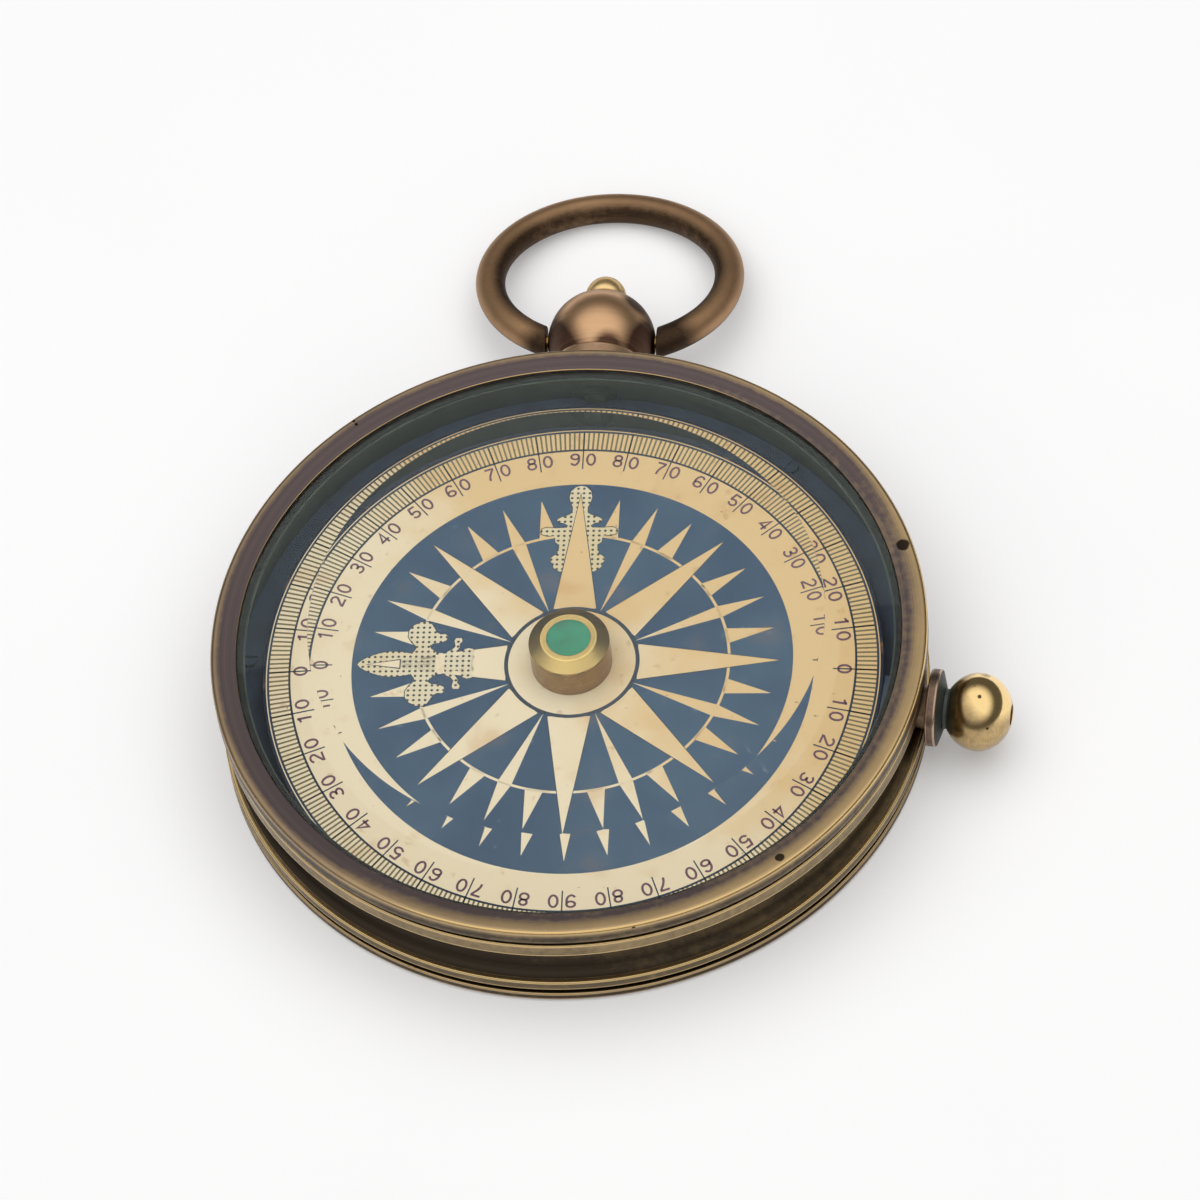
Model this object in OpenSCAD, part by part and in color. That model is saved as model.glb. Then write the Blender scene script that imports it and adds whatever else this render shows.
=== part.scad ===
// Open-face brass pocket compass: a spool-shaped case with a bevelled crystal, a
// floating card on a needle, a card lock worked by a side knob, and a swinging bow
// on a ball pendant. All sizes are in millimetres.
// The origin is the centre of the back face. +Z goes up through the crystal and
// +Y goes out through the pendant.

/* [Case rims] */
// Radius of the bezel ring, the widest part of the case
bezel_r = 37.5; // [35:0.5:41]
// Height of the bezel ring's outer band
bezel_h = 1.95; // [1.6:0.05:2.3]
// Width of the bezel ring's top face
bezel_face_w = 2.7; // [2.4:0.1:3]
// How much lower the bezel's top face is at the crystal than at its rim
bezel_dish = 0.25; // [0:0.05:0.4]
// Radius of the worn outer edge of the bezel
bezel_edge_r = 0.45; // [0.2:0.05:0.6]
// Thickness of the bezel's lip over the crystal's rim
bezel_lip_t = 0.95; // [0.7:0.05:1.3]
// How far the flanges and the back cover stand in from the bezel
flange_inset = 0.2; // [0:0.1:0.5]
// Height of the flange under the bezel
upper_flange_h = 1.85; // [1.5:0.05:2.1]
// Height of the flange above the back cover
lower_flange_h = 1.3; // [1:0.05:1.6]
// Height of each turned groove between a flange and its neighbour
groove_h = 0.75; // [0.5:0.05:0.9]
// Chamfer on the flange edges
flange_edge = 0.2; // [0.1:0.05:0.3]

/* [Case wall and floor] */
// Depth of the hollow waist between the flanges
waist_d = 2.1; // [1.8:0.1:2.4]
// Wall thickness behind the deepest part of the waist
waist_wall = 1.6; // [1.2:0.1:1.9]
// Thickness of the back cover's floor
cover_floor_t = 0.8; // [0.6:0.05:1]
// Height of the back cover's outer band
cover_h = 1.35; // [1.2:0.05:1.5]
// Wall thickness of the back cover's band
cover_wall = 0.85; // [0.6:0.05:1]
// Thickness of the ledge that carries the mechanism plate
ledge_t = 0.75; // [0.6:0.05:1]
// Width of the ledge that carries the mechanism plate
ledge_w = 2.6; // [2.3:0.1:3]
// Thickness of the mechanism plate
plate_t = 0.9; // [0.7:0.05:1.2]

/* [Crystal] */
// Radius of the crystal's flat top, where the bevel starts
crystal_top_r = 27; // [24:0.5:29]
// Height of the bevel, from the bezel up to the flat top
bevel_h = 3.05; // [2:0.05:4]
// Height of the crystal's upright edge inside the bezel's opening
crystal_edge_h = 0.45; // [0.3:0.05:0.7]
// How far the crystal's rim reaches under the bezel
crystal_rim_w = 0.6; // [0.4:0.05:0.7]
// Height of the crystal's rim
crystal_rim_h = 0.75; // [0.6:0.05:1]
// Thickness of the case neck round the crystal's rim
neck_wall = 0.6; // [0.4:0.05:0.7]
// Thickness of the gasket under the crystal
gasket_t = 0.3; // [0.2:0.05:0.5]

/* [Floating card] */
// Thickness of the printed card
card_t = 0.25; // [0.15:0.05:0.4]
// Thickness of the metal disc that backs the card
backing_t = 0.3; // [0.2:0.05:0.5]
// How far the metal backing stays inside the card's edge
backing_inset = 0.15; // [0.05:0.05:0.4]
// Free space between the card's edge and the lock's tab
card_edge_gap = 0.67; // [0.3:0.01:0.9]
// Angle of the card's east point from the pendant, anticlockwise from above
card_turn = 2; // [-180:1:180]
// Length of each magnet
magnet_l = 38; // [30:1:44]
// Width of each magnet
magnet_w = 2.6; // [2:0.1:3.4]
// Thickness of each magnet
magnet_t = 0.95; // [0.8:0.05:1.3]
// Radius of the rivets that hold the magnets
rivet_r = 0.5; // [0.35:0.05:0.7]

/* [Cap and pivot] */
// Radius of the brass cap on the card
cap_r = 4.25; // [3.8:0.05:5]
// Height of the cap above the card
cap_h = 4.5; // [3.8:0.1:5]
// Radius of the cap's flat top
cap_top_r = 2.95; // [2.8:0.05:3.4]
// Height of the cap's sloping shoulder
cap_shoulder_h = 0.75; // [0.4:0.05:1]
// Radius of the coloured inlay in the cap
inlay_r = 2.3; // [1.8:0.05:2.5]
// Thickness of the coloured inlay
inlay_t = 0.4; // [0.25:0.05:0.6]
// Radius of the cap's threaded spigot through the card
spigot_r = 2.6; // [2.4:0.05:3]
// Wall thickness of that spigot
spigot_wall = 0.85; // [0.6:0.05:0.9]
// Radius of the jewel
jewel_r = 1.35; // [1.1:0.05:1.5]
// Height of the jewel
jewel_h = 1.6; // [1.3:0.05:1.9]
// Thickness of the cap between the jewel and the inlay
cap_web_t = 1.1; // [0.6:0.1:1.6]
// Depth of the jewel's hollow
jewel_cup_d = 0.9; // [0.6:0.05:1.1]
// Thickness of the nut that clamps the card to the cap
hub_nut_t = 0.65; // [0.5:0.05:0.8]
// Radius of that nut
hub_nut_r = 4; // [3.6:0.1:4.4]
// Radius of the pivot post
post_r = 1.2; // [1:0.05:1.35]
// Radius of the post's shank in the plate
post_shank_r = 1.5; // [1.4:0.05:1.7]
// Radius of the post's head under the plate
post_head_r = 3; // [2.4:0.1:4]
// Radius of the steel needle
needle_r = 0.4; // [0.25:0.05:0.5]
// Length of the needle that is seated in the post
needle_seat_l = 1.6; // [1.2:0.1:1.9]
// Width across the flats of the post's nut
post_nut_af = 4.4; // [4:0.1:4.8]
// Thickness of the post's nut
post_nut_t = 0.6; // [0.45:0.05:0.7]

/* [Card lock] */
// Angle from the pendant to the lock knob, clockwise from above
knob_angle = 96; // [85:1:110]
// How far the knob pulls out
lock_travel = 1.5; // [1:0.1:1.7]
// How far that lifts the card
lift_h = 0.7; // [0.5:0.05:0.8]
// Thickness of the pull bar and its tab
bar_t = 0.6; // [0.5:0.05:0.8]
// Width of the pull bar
bar_w = 5; // [4:0.2:6]
// Width of each fork tine
tine_w = 1.3; // [1.1:0.05:1.6]
// Height of the foot of each lifting ramp
ramp_foot_h = 0.25; // [0.1:0.05:0.4]
// Thickness of the lift ring's flange
lift_flange_t = 0.55; // [0.4:0.05:0.7]
// Thickness of the tab's end, where the stem is riveted
tab_t = 0.5; // [0.4:0.05:0.7]
// Width of each bridge along the pull bar
bridge_l = 2.4; // [2.1:0.1:3]
// Thickness of the bridges
bridge_t = 0.5; // [0.4:0.05:0.6]
// Length of each bridge foot beside the bar
foot_w = 2.4; // [2.1:0.1:3]
// Distance of the inner bridge from the middle
inner_bridge_x = 11; // [10:0.5:14]
// Distance of the outer bridge from the case wall
outer_bridge_inset = 8.6; // [7.8:0.1:12]
// Radius of the small screws
screw_r = 0.5; // [0.4:0.05:0.6]
// Radius of the small screws' heads
screw_head_r = 0.9; // [0.8:0.05:1]
// Height of the small screws' heads
screw_head_h = 0.4; // [0.3:0.05:0.5]
// Number of screws that hold the mechanism plate
plate_screw_count = 3; // [3:1:6]

/* [Lock knob] */
// Radius of the knob's ball across its axis
knob_r = 4.1; // [3.6:0.1:4.8]
// Half length of the knob's ball along its axis
knob_half_l = 3.65; // [3:0.05:4]
// Radius of the neck under the ball
knob_neck_r = 2.1; // [1.7:0.05:2.3]
// Length of the neck that shows
knob_neck_l = 0.35; // [0.2:0.05:0.8]
// Radius of the hole drilled in the knob's end
knob_hole_r = 1.1; // [0.8:0.05:1.3]
// Depth of that hole
knob_hole_d = 0.9; // [0.5:0.1:1.4]
// Radius of the stem
stem_r = 1.2; // [1:0.05:1.4]
// Radius of the stem's rivet end in the tab
stem_rivet_r = 0.6; // [0.45:0.05:0.8]
// Radius of the stem's threaded end in the knob
stem_thread_r = 0.95; // [0.8:0.05:1]
// Length of that threaded end
stem_thread_l = 3.2; // [2:0.1:4]
// Radius of the bush's collar
bush_collar_r = 4.05; // [3.6:0.05:4.6]
// Thickness of the bush's collar
bush_collar_t = 1.05; // [0.8:0.05:1.4]
// Height of the cone on the collar's face
bush_cone_h = 0.55; // [0.3:0.05:0.8]
// Radius of the bush's neck in the case wall
bush_neck_r = 2.3; // [2:0.05:2.4]

/* [Pendant] */
// Radius of the pendant's ball
pendant_ball_r = 5.85; // [5.4:0.05:5.85]
// Distance from the ball's centre to its flat seat on the collar
pendant_seat = 3.7; // [3.2:0.1:4.2]
// Radius of the pendant's collar
pendant_collar_r = 5.2; // [4.6:0.1:5.6]
// Thickness of the pendant's collar
pendant_collar_t = 2.25; // [1.6:0.05:2.6]
// Radius of the collar's spigot in the case wall
pendant_spigot_r = 2.3; // [2:0.05:2.4]
// Radius of the domed finial
finial_r = 2.37; // [2:0.01:2.6]
// Height of the finial's upright part, below its dome
finial_h = 0.85; // [0.4:0.05:1.2]
// Radius of the finial's screw
finial_screw_r = 1; // [0.8:0.05:1.2]
// Width across the flats of the finial's nut
finial_nut_af = 4; // [3.6:0.1:4.4]
// Thickness of the finial's nut
finial_nut_t = 1; // [0.8:0.05:1]
// Length of the finial's screw that stands past its nut
finial_tail_l = 0.3; // [0.1:0.1:1]
// Bevel on the edges of both collars
collar_edge = 0.15; // [0.05:0.05:0.3]

/* [Bow] */
// Half width of the oval bow, to the middle of its wire
bow_half_w = 13.05; // [12:0.05:14]
// Half length of the oval bow, to the middle of its wire
bow_half_l = 11.8; // [11:0.05:12.4]
// How far the wire's open ends lie beyond the hinge line, along the bow
bow_end_rise = 0.121; // [0:0.0005:0.5]
// Radius of the bow's wire
bow_wire_r = 1.61; // [1.4:0.01:1.8]
// Radius of the bow's pins in the ball
bow_pin_r = 0.8; // [0.6:0.05:1]
// Length of each pin inside the ball
bow_pin_l = 2.5; // [1.8:0.1:3]

/* [Clearances] */
// Running clearance of a shaft in its hole
run_fit = 0.05; // [0.03:0.01:0.08]
// Clearance of a fixed piece in its hole or seat
seat_fit = 0.03; // [0.01:0.01:0.05]
// Free space above and below sliding and turning pieces
slide_gap = 0.1; // [0.05:0.05:0.15]
// Free space between the bow's ends and the ball
bow_gap = 0.15; // [0.1:0.05:0.35]
// Free space between the back cover's floor and the case's neck
cover_gap = 0.05; // [0.02:0.01:0.1]
// Free space between the collars and the case flanges
collar_gap = 0.15; // [0.1:0.05:0.3]
// Free space between the lift ring and the card's hub nut
hub_gap = 0.2; // [0.1:0.05:0.3]
// Free space between the lifted cap and the crystal
cap_gap = 0.15; // [0.1:0.05:0.3]
// Free space under the magnets
magnet_gap = 0.2; // [0.1:0.05:0.3]

/* [Hidden] */
$fn = 96;

// Steps round the turned edges and the hollow waist
edge_steps = 5;
waist_steps = 16;
knob_steps = 28;

// Heights, from the table up to the crystal
neck_z = cover_floor_t + cover_gap;
ledge_z = neck_z + ledge_t;
plate_z = ledge_z + plate_t;
bar_z = plate_z + slide_gap;
bar_top = bar_z + bar_t;
ramp_low = bar_top + ramp_foot_h;
ramp_top = ramp_low + lift_h;
lift_flange_z = ramp_low + run_fit;
backing_z = ramp_top + magnet_gap + magnet_t;
card_z = backing_z + backing_t;
card_top = card_z + card_t;
cap_top = card_top + cap_h;
crystal_z = cap_top + lift_h + cap_gap;
seat_z = crystal_z - gasket_t;
lip_z = crystal_z + crystal_rim_h;
case_top = lip_z + bezel_lip_t;
bevel_z = lip_z + crystal_edge_h;
crystal_top = bevel_z + bevel_h;
bezel_z = case_top - bezel_h;
upper_flange_top = bezel_z - groove_h;
waist_top = upper_flange_top - upper_flange_h;
lower_flange_z = cover_h + groove_h;
waist_z = lower_flange_z + lower_flange_h;
axis_z = (waist_z + waist_top) / 2;

// Radii of the case
flange_r = bezel_r - flange_inset;
inner_r = flange_r - waist_d - waist_wall;
opening_r = bezel_r - bezel_face_w;
crystal_r = opening_r - run_fit;
crystal_rim_r = opening_r + crystal_rim_w;
crystal_bore_r = crystal_rim_r + 2 * run_fit;
upper_neck_r = crystal_bore_r + neck_wall;
lower_neck_r = flange_r - cover_wall - run_fit;
ledge_r = inner_r - ledge_w;
plate_r = inner_r - 2 * run_fit;
gasket_in_r = inner_r + gasket_t;

// The tab, the stem's stop and the card's edge share the space inside the wall
bush_in_x = sqrt(pow(inner_r, 2) - pow(bush_neck_r, 2));
tab_x = bush_in_x - slide_gap - lock_travel - tab_t;
card_r = tab_x - card_edge_gap;
tab_top = axis_z + stem_r;

// The lock knob's pieces along their own axis
bush_collar_x = bezel_r + 2 * collar_gap;
bush_face_x = bush_collar_x + bush_collar_t;
knob_x0 = bush_face_x + bush_cone_h + run_fit;
knob_x = knob_x0 + knob_neck_l + knob_half_l * sqrt(1 - pow(knob_neck_r / knob_r, 2));
knob_end_r = knob_hole_r + 0.1;
knob_end_x = knob_x + knob_half_l * sqrt(1 - pow(knob_end_r / knob_r, 2));

// The pivot and the fork round its nut
hex_corner = 1 / cos(30);
post_nut_corner = post_nut_af / 2 * hex_corner;
post_top = backing_z - slide_gap;
slot_w = post_nut_corner + 3 * slide_gap;
fork_w = slot_w + tine_w;
lift_flange_r = fork_w + 2.5 * slide_gap;
lift_hub_r = slot_w - 6 * slide_gap;
ramp_x = sqrt(pow(lift_flange_r, 2) - pow(slot_w, 2));
fork_l = slot_w + lock_travel;
jewel_z = cap_top - inlay_t - cap_web_t - jewel_h;
jewel_mouth_r = jewel_r - 0.35;
needle_tip_z = jewel_z + jewel_cup_d - run_fit;
needle_point_h = 1.1;
magnet_y = lift_flange_r + 4 * slide_gap + magnet_w / 2;
rivet_x = magnet_l / 2 - 4;

// Bridges and screws in the plate
outer_bridge_x = inner_r - outer_bridge_inset;
plate_screw_x = inner_r - ledge_w / 2;
foot_y = bar_w / 2 + slide_gap;
bridge_screw_y = foot_y + foot_w / 2;
bridge_screw_l = bridge_t + plate_t * 0.85;
plate_screw_l = plate_t + ledge_t * 0.85;

// The pendant's pieces along +Y
pendant_collar_y = bezel_r + collar_gap;
pendant_seat_y = pendant_collar_y + pendant_collar_t;
pendant_y = pendant_seat_y + pendant_seat;
pendant_spigot_y = sqrt(pow(inner_r, 2) - pow(pendant_spigot_r, 2)) + slide_gap;
finial_y = pendant_y + sqrt(pow(pendant_ball_r, 2) - pow(finial_r, 2));
finial_nut_corner = finial_nut_af / 2 * hex_corner;
finial_nut_y = sqrt(pow(inner_r, 2) - pow(finial_nut_corner, 2)) - run_fit - finial_nut_t;
finial_screw_end = finial_nut_y - finial_tail_l;

// The bow is an oval, open where its ends face the ball, that droops until it touches the table
bow_end_x = pendant_ball_r + bow_gap;
bow_start = asin(bow_end_x / bow_half_w);
bow_reach = bow_half_l * cos(bow_start) + bow_end_rise;
bow_droop = asin((axis_z - bow_wire_r) / (bow_reach + bow_half_l));
bow_pin_x = pendant_ball_r - bow_pin_l;
bow_rings = 56;
bow_sides = 16;

brass_dark = "#6b5638";
brass_aged = "#8a6c3e";
brass_gold = "#c39a4e";
steel = "#8f949a";
glass_tint = [0.75, 0.85, 0.85, 0.4];
paper = "#e3c795";
inlay_green = "#3f9a7a";
jewel_red = "#a34a3c";
gasket_black = "#20211f";
aluminium = "#b9bcbe";

function arc(cx, cy, r, from, to, steps) =
    [for (i = [0:steps]) [cx + r * cos(from + (to - from) * i / steps),
                          cy + r * sin(from + (to - from) * i / steps)]];

// A turned piece: a half section spun about Z
module turned(section) {
    rotate_extrude() polygon(section);
}

// Lays a piece that is drawn along +Z along the knob's axis, at the waist's height
module along_knob(x) {
    rotate([0, 0, 90 - knob_angle]) translate([x, 0, axis_z]) rotate([0, 90, 0]) children();
}

// Lays a piece that is drawn along +Z along the pendant's axis, at the waist's height
module along_pendant(y) {
    translate([0, y, axis_z]) rotate([-90, 0, 0]) children();
}

// Turns a piece that is drawn in the lock's own direction, +X, towards the knob
module to_knob() {
    rotate([0, 0, 90 - knob_angle]) children();
}

// A slotted screw with its head standing on z = 0 and its shank below
module small_screw(shank_l) {
    difference() {
        union() {
            cylinder(r = screw_head_r, h = screw_head_h);
            translate([0, 0, -shank_l]) cylinder(r = screw_r, h = shank_l + screw_head_h / 2);
        }
        translate([-screw_head_r - 1, -0.15, screw_head_h * 0.6])
            cube([2 * screw_head_r + 2, 0.3, screw_head_h]);
    }
}

// A hexagonal nut with its bore, standing on z = 0
module hex_nut(af, t, bore_r) {
    difference() {
        cylinder(r = af / 2 * hex_corner, h = t, $fn = 6);
        translate([0, 0, -1]) cylinder(r = bore_r, h = t + 2);
    }
}

// A round hole through the case wall, turned about its axis so that its seam meets no edge
module wall_hole(r) {
    rotate([0, 0, 37]) cylinder(r = r, h = bezel_r - inner_r + 4);
}

// Turned dish that closes the case from below
module back_cover() {
    bore_r = flange_r - cover_wall;
    color(brass_dark) turned([
        [0, 0], [flange_r - 2 * flange_edge, 0], [flange_r, 2 * flange_edge],
        [flange_r, cover_h - flange_edge], [flange_r - flange_edge, cover_h],
        [bore_r, cover_h], [bore_r, cover_floor_t], [0, cover_floor_t]]);
}

// Case wall with its two flanges, the hollow waist, both necks and both ledges
module case_body() {
    edge = flange_edge;
    hollow = [for (i = [0:waist_steps])
        let (t = 180 * i / waist_steps)
        [flange_r - edge - (waist_d - edge) * sin(t),
         (waist_z + waist_top) / 2 - (waist_top - waist_z) / 2 * cos(t)]];
    color(brass_aged) difference() {
        turned(concat(
            [[ledge_r, neck_z], [lower_neck_r, neck_z], [lower_neck_r, lower_flange_z],
             [flange_r - edge, lower_flange_z], [flange_r, lower_flange_z + edge],
             [flange_r, waist_z - edge]],
            hollow,
            [[flange_r, waist_top + edge], [flange_r, upper_flange_top - edge],
             [flange_r - edge, upper_flange_top], [upper_neck_r, upper_flange_top],
             [upper_neck_r, lip_z - run_fit], [crystal_bore_r, lip_z - run_fit],
             [crystal_bore_r, seat_z], [inner_r, seat_z], [inner_r, ledge_z],
             [ledge_r, ledge_z]]));
        along_knob(inner_r - 2) wall_hole(bush_neck_r + seat_fit);
        along_pendant(inner_r - 2) wall_hole(pendant_spigot_r + seat_fit);
        plate_screw_places(ledge_z)
            translate([0, 0, -ledge_t]) cylinder(r = screw_r + seat_fit, h = ledge_t + 1);
    }
}

// Places for the screws that hold the mechanism plate, between the knob and its far side
module plate_screw_places(z) {
    to_knob() for (i = [0:plate_screw_count - 1])
        rotate([0, 0, 360 / plate_screw_count * (i + 0.5)])
            translate([plate_screw_x, 0, z]) children();
}

// Places for the screws of one bridge
module bridge_screw_places(x, z) {
    to_knob() for (side = [-1, 1])
        translate([x, side * bridge_screw_y, z]) children();
}

// Screwed ring that clamps the crystal
module bezel_ring() {
    bore_r = upper_neck_r + run_fit;
    color(brass_dark) turned(concat(
        [[bore_r, bezel_z], [bezel_r - flange_edge, bezel_z], [bezel_r, bezel_z + flange_edge]],
        arc(bezel_r - bezel_edge_r, case_top - bezel_edge_r, bezel_edge_r, 0, 90, edge_steps),
        [[opening_r + 0.1, case_top - bezel_dish], [opening_r, case_top - bezel_dish - 0.1],
         [opening_r, lip_z], [bore_r, lip_z]]));
}

// Thick crystal with a wide bevel, held by the rim at its foot
module crystal() {
    color(glass_tint) turned([
        [0, crystal_z], [crystal_rim_r, crystal_z], [crystal_rim_r, lip_z],
        [crystal_r, lip_z], [crystal_r, bevel_z], [crystal_top_r, crystal_top],
        [0, crystal_top]]);
}

// Flat ring between the case's seat and the crystal
module crystal_gasket() {
    color(gasket_black) turned([
        [gasket_in_r, seat_z], [crystal_rim_r, seat_z],
        [crystal_rim_r, crystal_z], [gasket_in_r, crystal_z]]);
}

// Plate that carries the pivot and the lock
module base_plate() {
    color(brass_aged) difference() {
        translate([0, 0, ledge_z]) cylinder(r = plate_r, h = plate_t);
        translate([0, 0, ledge_z - 1]) cylinder(r = post_shank_r + seat_fit, h = plate_t + 2);
        plate_screw_places(ledge_z - 1) cylinder(r = screw_r + run_fit, h = plate_t + 2);
        for (x = [inner_bridge_x, outer_bridge_x])
            bridge_screw_places(x, ledge_z - 1)
                cylinder(r = screw_r + seat_fit, h = plate_t + 2);
    }
}

module plate_screws() {
    color(steel) plate_screw_places(plate_z) small_screw(plate_screw_l);
}

// Post with a head under the plate, a shank through it and a bore for the needle
module pivot_post() {
    color(brass_gold) difference() {
        union() {
            translate([0, 0, cover_floor_t + 2 * slide_gap])
                cylinder(r = post_head_r, h = ledge_z - cover_floor_t - 2 * slide_gap);
            translate([0, 0, ledge_z - 0.01]) cylinder(r = post_shank_r, h = plate_t + 0.01);
            translate([0, 0, plate_z - 0.01]) cylinder(r = post_r, h = post_top - plate_z + 0.01);
        }
        translate([0, 0, post_top - needle_seat_l])
            cylinder(r = needle_r + seat_fit, h = needle_seat_l + 1);
    }
}

module post_nut() {
    color(steel) translate([0, 0, plate_z]) hex_nut(post_nut_af, post_nut_t, post_r + seat_fit);
}

// Steel needle with a sharp point under the jewel
module pivot_needle() {
    shoulder_z = needle_tip_z - needle_point_h;
    color(steel) turned([
        [0, post_top - needle_seat_l], [needle_r, post_top - needle_seat_l],
        [needle_r, shoulder_z], [0.03, needle_tip_z], [0, needle_tip_z]]);
}

// Flanged sleeve that slides on the post and lifts the card's hub
module lift_ring() {
    bore_r = post_r + run_fit;
    foot_z = plate_z + post_nut_t + run_fit;
    flange_top = lift_flange_z + lift_flange_t;
    top_z = backing_z - hub_nut_t - hub_gap;
    color(brass_gold) turned([
        [bore_r, foot_z], [lift_hub_r, foot_z], [lift_hub_r, lift_flange_z],
        [lift_flange_r, lift_flange_z], [lift_flange_r, flange_top],
        [hub_nut_r * 0.7, flange_top], [hub_nut_r * 0.7, top_z], [bore_r, top_z]]);
}

// Bridge that guides the pull bar: two feet, two cheeks and a top
module bridge(x) {
    top_z = bar_top + slide_gap;
    color(brass_gold) difference() {
        to_knob() translate([x - bridge_l / 2, 0, plate_z]) union() {
            for (side = [-1, 1])
                translate([0, side < 0 ? -foot_y - foot_w : foot_y, 0])
                    cube([bridge_l, foot_w, bridge_t]);
            for (side = [-1, 1])
                translate([0, side < 0 ? -foot_y - bridge_t : foot_y, 0])
                    cube([bridge_l, bridge_t, top_z - plate_z + bridge_t]);
            translate([0, -foot_y - bridge_t, top_z - plate_z])
                cube([bridge_l, 2 * (foot_y + bridge_t), bridge_t]);
        }
        bridge_screw_places(x, plate_z - 1)
            cylinder(r = screw_r + seat_fit, h = bridge_t + 2);
        bridge_screw_places(x, plate_z + bridge_t)
            cylinder(r = screw_head_r + slide_gap, h = bar_t + 2);
    }
}

module inner_bridge() {
    bridge(inner_bridge_x);
}

module outer_bridge() {
    bridge(outer_bridge_x);
}

module bridge_screws() {
    color(steel) for (x = [inner_bridge_x, outer_bridge_x])
        bridge_screw_places(x, plate_z + bridge_t) small_screw(bridge_screw_l);
}

// Flat bar with a tab at the stem's end and a fork with lifting ramps at the other
module pull_bar() {
    tine_end = -ramp_x - lock_travel;
    color(brass_aged) difference() {
        to_knob() union() {
            translate([tine_end, -fork_w, bar_z]) cube([fork_l - tine_end, 2 * fork_w, bar_t]);
            translate([fork_l - 1, -bar_w / 2, bar_z])
                cube([tab_x + tab_t - fork_l + 1, bar_w, bar_t]);
            translate([tab_x, -bar_w / 2, bar_z]) cube([tab_t, bar_w, tab_top - bar_z]);
            for (side = [-1, 1])
                translate([0, side * (slot_w + tine_w / 2) + tine_w / 2, 0])
                    rotate([90, 0, 0]) linear_extrude(tine_w) polygon([
                        [tine_end, bar_z], [-ramp_x + 0.5, bar_z],
                        [-ramp_x + 0.5, bar_top], [-ramp_x, ramp_low],
                        [tine_end, ramp_top]]);
        }
        to_knob() translate([tine_end - 1, -slot_w, bar_z - 1])
            cube([slot_w - tine_end + 1 + 2 * slide_gap, 2 * slot_w, bar_t + 5]);
        along_knob(tab_x - 1) cylinder(r = stem_rivet_r + seat_fit, h = tab_t + 2);
    }
}

// Stem of the knob: a rivet end in the tab, the sliding shank and a threaded end
module lock_stem() {
    color(brass_gold) union() {
        along_knob(tab_x) cylinder(r = stem_rivet_r, h = tab_t + 0.01);
        along_knob(tab_x + tab_t) cylinder(r = stem_r, h = knob_x0 - tab_x - tab_t);
        along_knob(knob_x0 - 0.01) cylinder(r = stem_thread_r, h = stem_thread_l + 0.01);
    }
}

// Turned ball knob with a short neck and a hole drilled in its end
module lock_knob() {
    neck_angle = asin(knob_neck_r / knob_r);
    end_angle = asin(knob_end_r / knob_r);
    ball = [for (i = [0:knob_steps])
        let (t = 180 - neck_angle + (end_angle + neck_angle - 180) * i / knob_steps)
        [knob_r * sin(t), knob_x + knob_half_l * cos(t) - knob_x0]];
    hole_r = knob_hole_r;
    end_l = knob_end_x - knob_x0;
    thread_l = stem_thread_l + 2 * run_fit;
    color(brass_gold) along_knob(knob_x0) turned(concat(
        [[stem_thread_r + seat_fit, 0], [knob_neck_r, 0]],
        ball,
        [[hole_r, end_l], [hole_r, end_l - knob_hole_d], [0, end_l - knob_hole_d - 0.3],
         [0, thread_l], [stem_thread_r + seat_fit, thread_l]]));
}

// Bush in the case wall that guides the stem, with its round collar outside
module lock_bush() {
    tip_l = bush_face_x + bush_cone_h - bush_in_x;
    face_l = bush_face_x - bush_in_x;
    back_l = bush_collar_x - bush_in_x;
    bore_r = stem_r + run_fit;
    edge = collar_edge;
    color(brass_aged) along_knob(bush_in_x) turned([
        [bore_r, 0], [bush_neck_r, 0], [bush_neck_r, back_l],
        [bush_collar_r - edge, back_l], [bush_collar_r, back_l + edge],
        [bush_collar_r, face_l - edge], [bush_collar_r - edge, face_l],
        [knob_neck_r + 0.2, tip_l], [bore_r, tip_l]]);
}

// Printed disc of the card
module card_disc() {
    color(paper) translate([0, 0, card_z]) difference() {
        cylinder(r = card_r, h = card_t);
        translate([0, 0, -1]) cylinder(r = spigot_r + seat_fit, h = card_t + 2);
    }
}

// Metal disc under the printed one, with the magnets' rivet holes
module card_backing() {
    color(aluminium) difference() {
        translate([0, 0, backing_z]) cylinder(r = card_r - backing_inset, h = backing_t);
        translate([0, 0, backing_z - 1]) cylinder(r = spigot_r + seat_fit, h = backing_t + 2);
        rivet_places(backing_z - 1) cylinder(r = rivet_r + seat_fit, h = backing_t + 2);
    }
}

// Places for the rivets through the magnets and the backing
module rivet_places(z) {
    rotate([0, 0, card_turn]) for (x = [-rivet_x, rivet_x], y = [-magnet_y, magnet_y])
        translate([x, y, z]) children();
}

// Two flat magnets along the card's north and south line
module magnet_bars() {
    color(steel) difference() {
        rotate([0, 0, card_turn]) for (side = [-1, 1])
            translate([-magnet_l / 2, side * magnet_y - magnet_w / 2, backing_z - magnet_t])
                cube([magnet_l, magnet_w, magnet_t]);
        rivet_places(backing_z - magnet_t - 1)
            cylinder(r = rivet_r + seat_fit, h = magnet_t + 2);
    }
}

module magnet_rivets() {
    color(brass_gold) rivet_places(backing_z - magnet_t)
        cylinder(r = rivet_r, h = magnet_t + backing_t);
}

// Round nut on the cap's spigot, under the backing
module hub_nut() {
    color(brass_gold) translate([0, 0, backing_z - hub_nut_t]) difference() {
        cylinder(r = hub_nut_r, h = hub_nut_t);
        translate([0, 0, -1]) cylinder(r = spigot_r + seat_fit, h = hub_nut_t + 2);
    }
}

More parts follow.
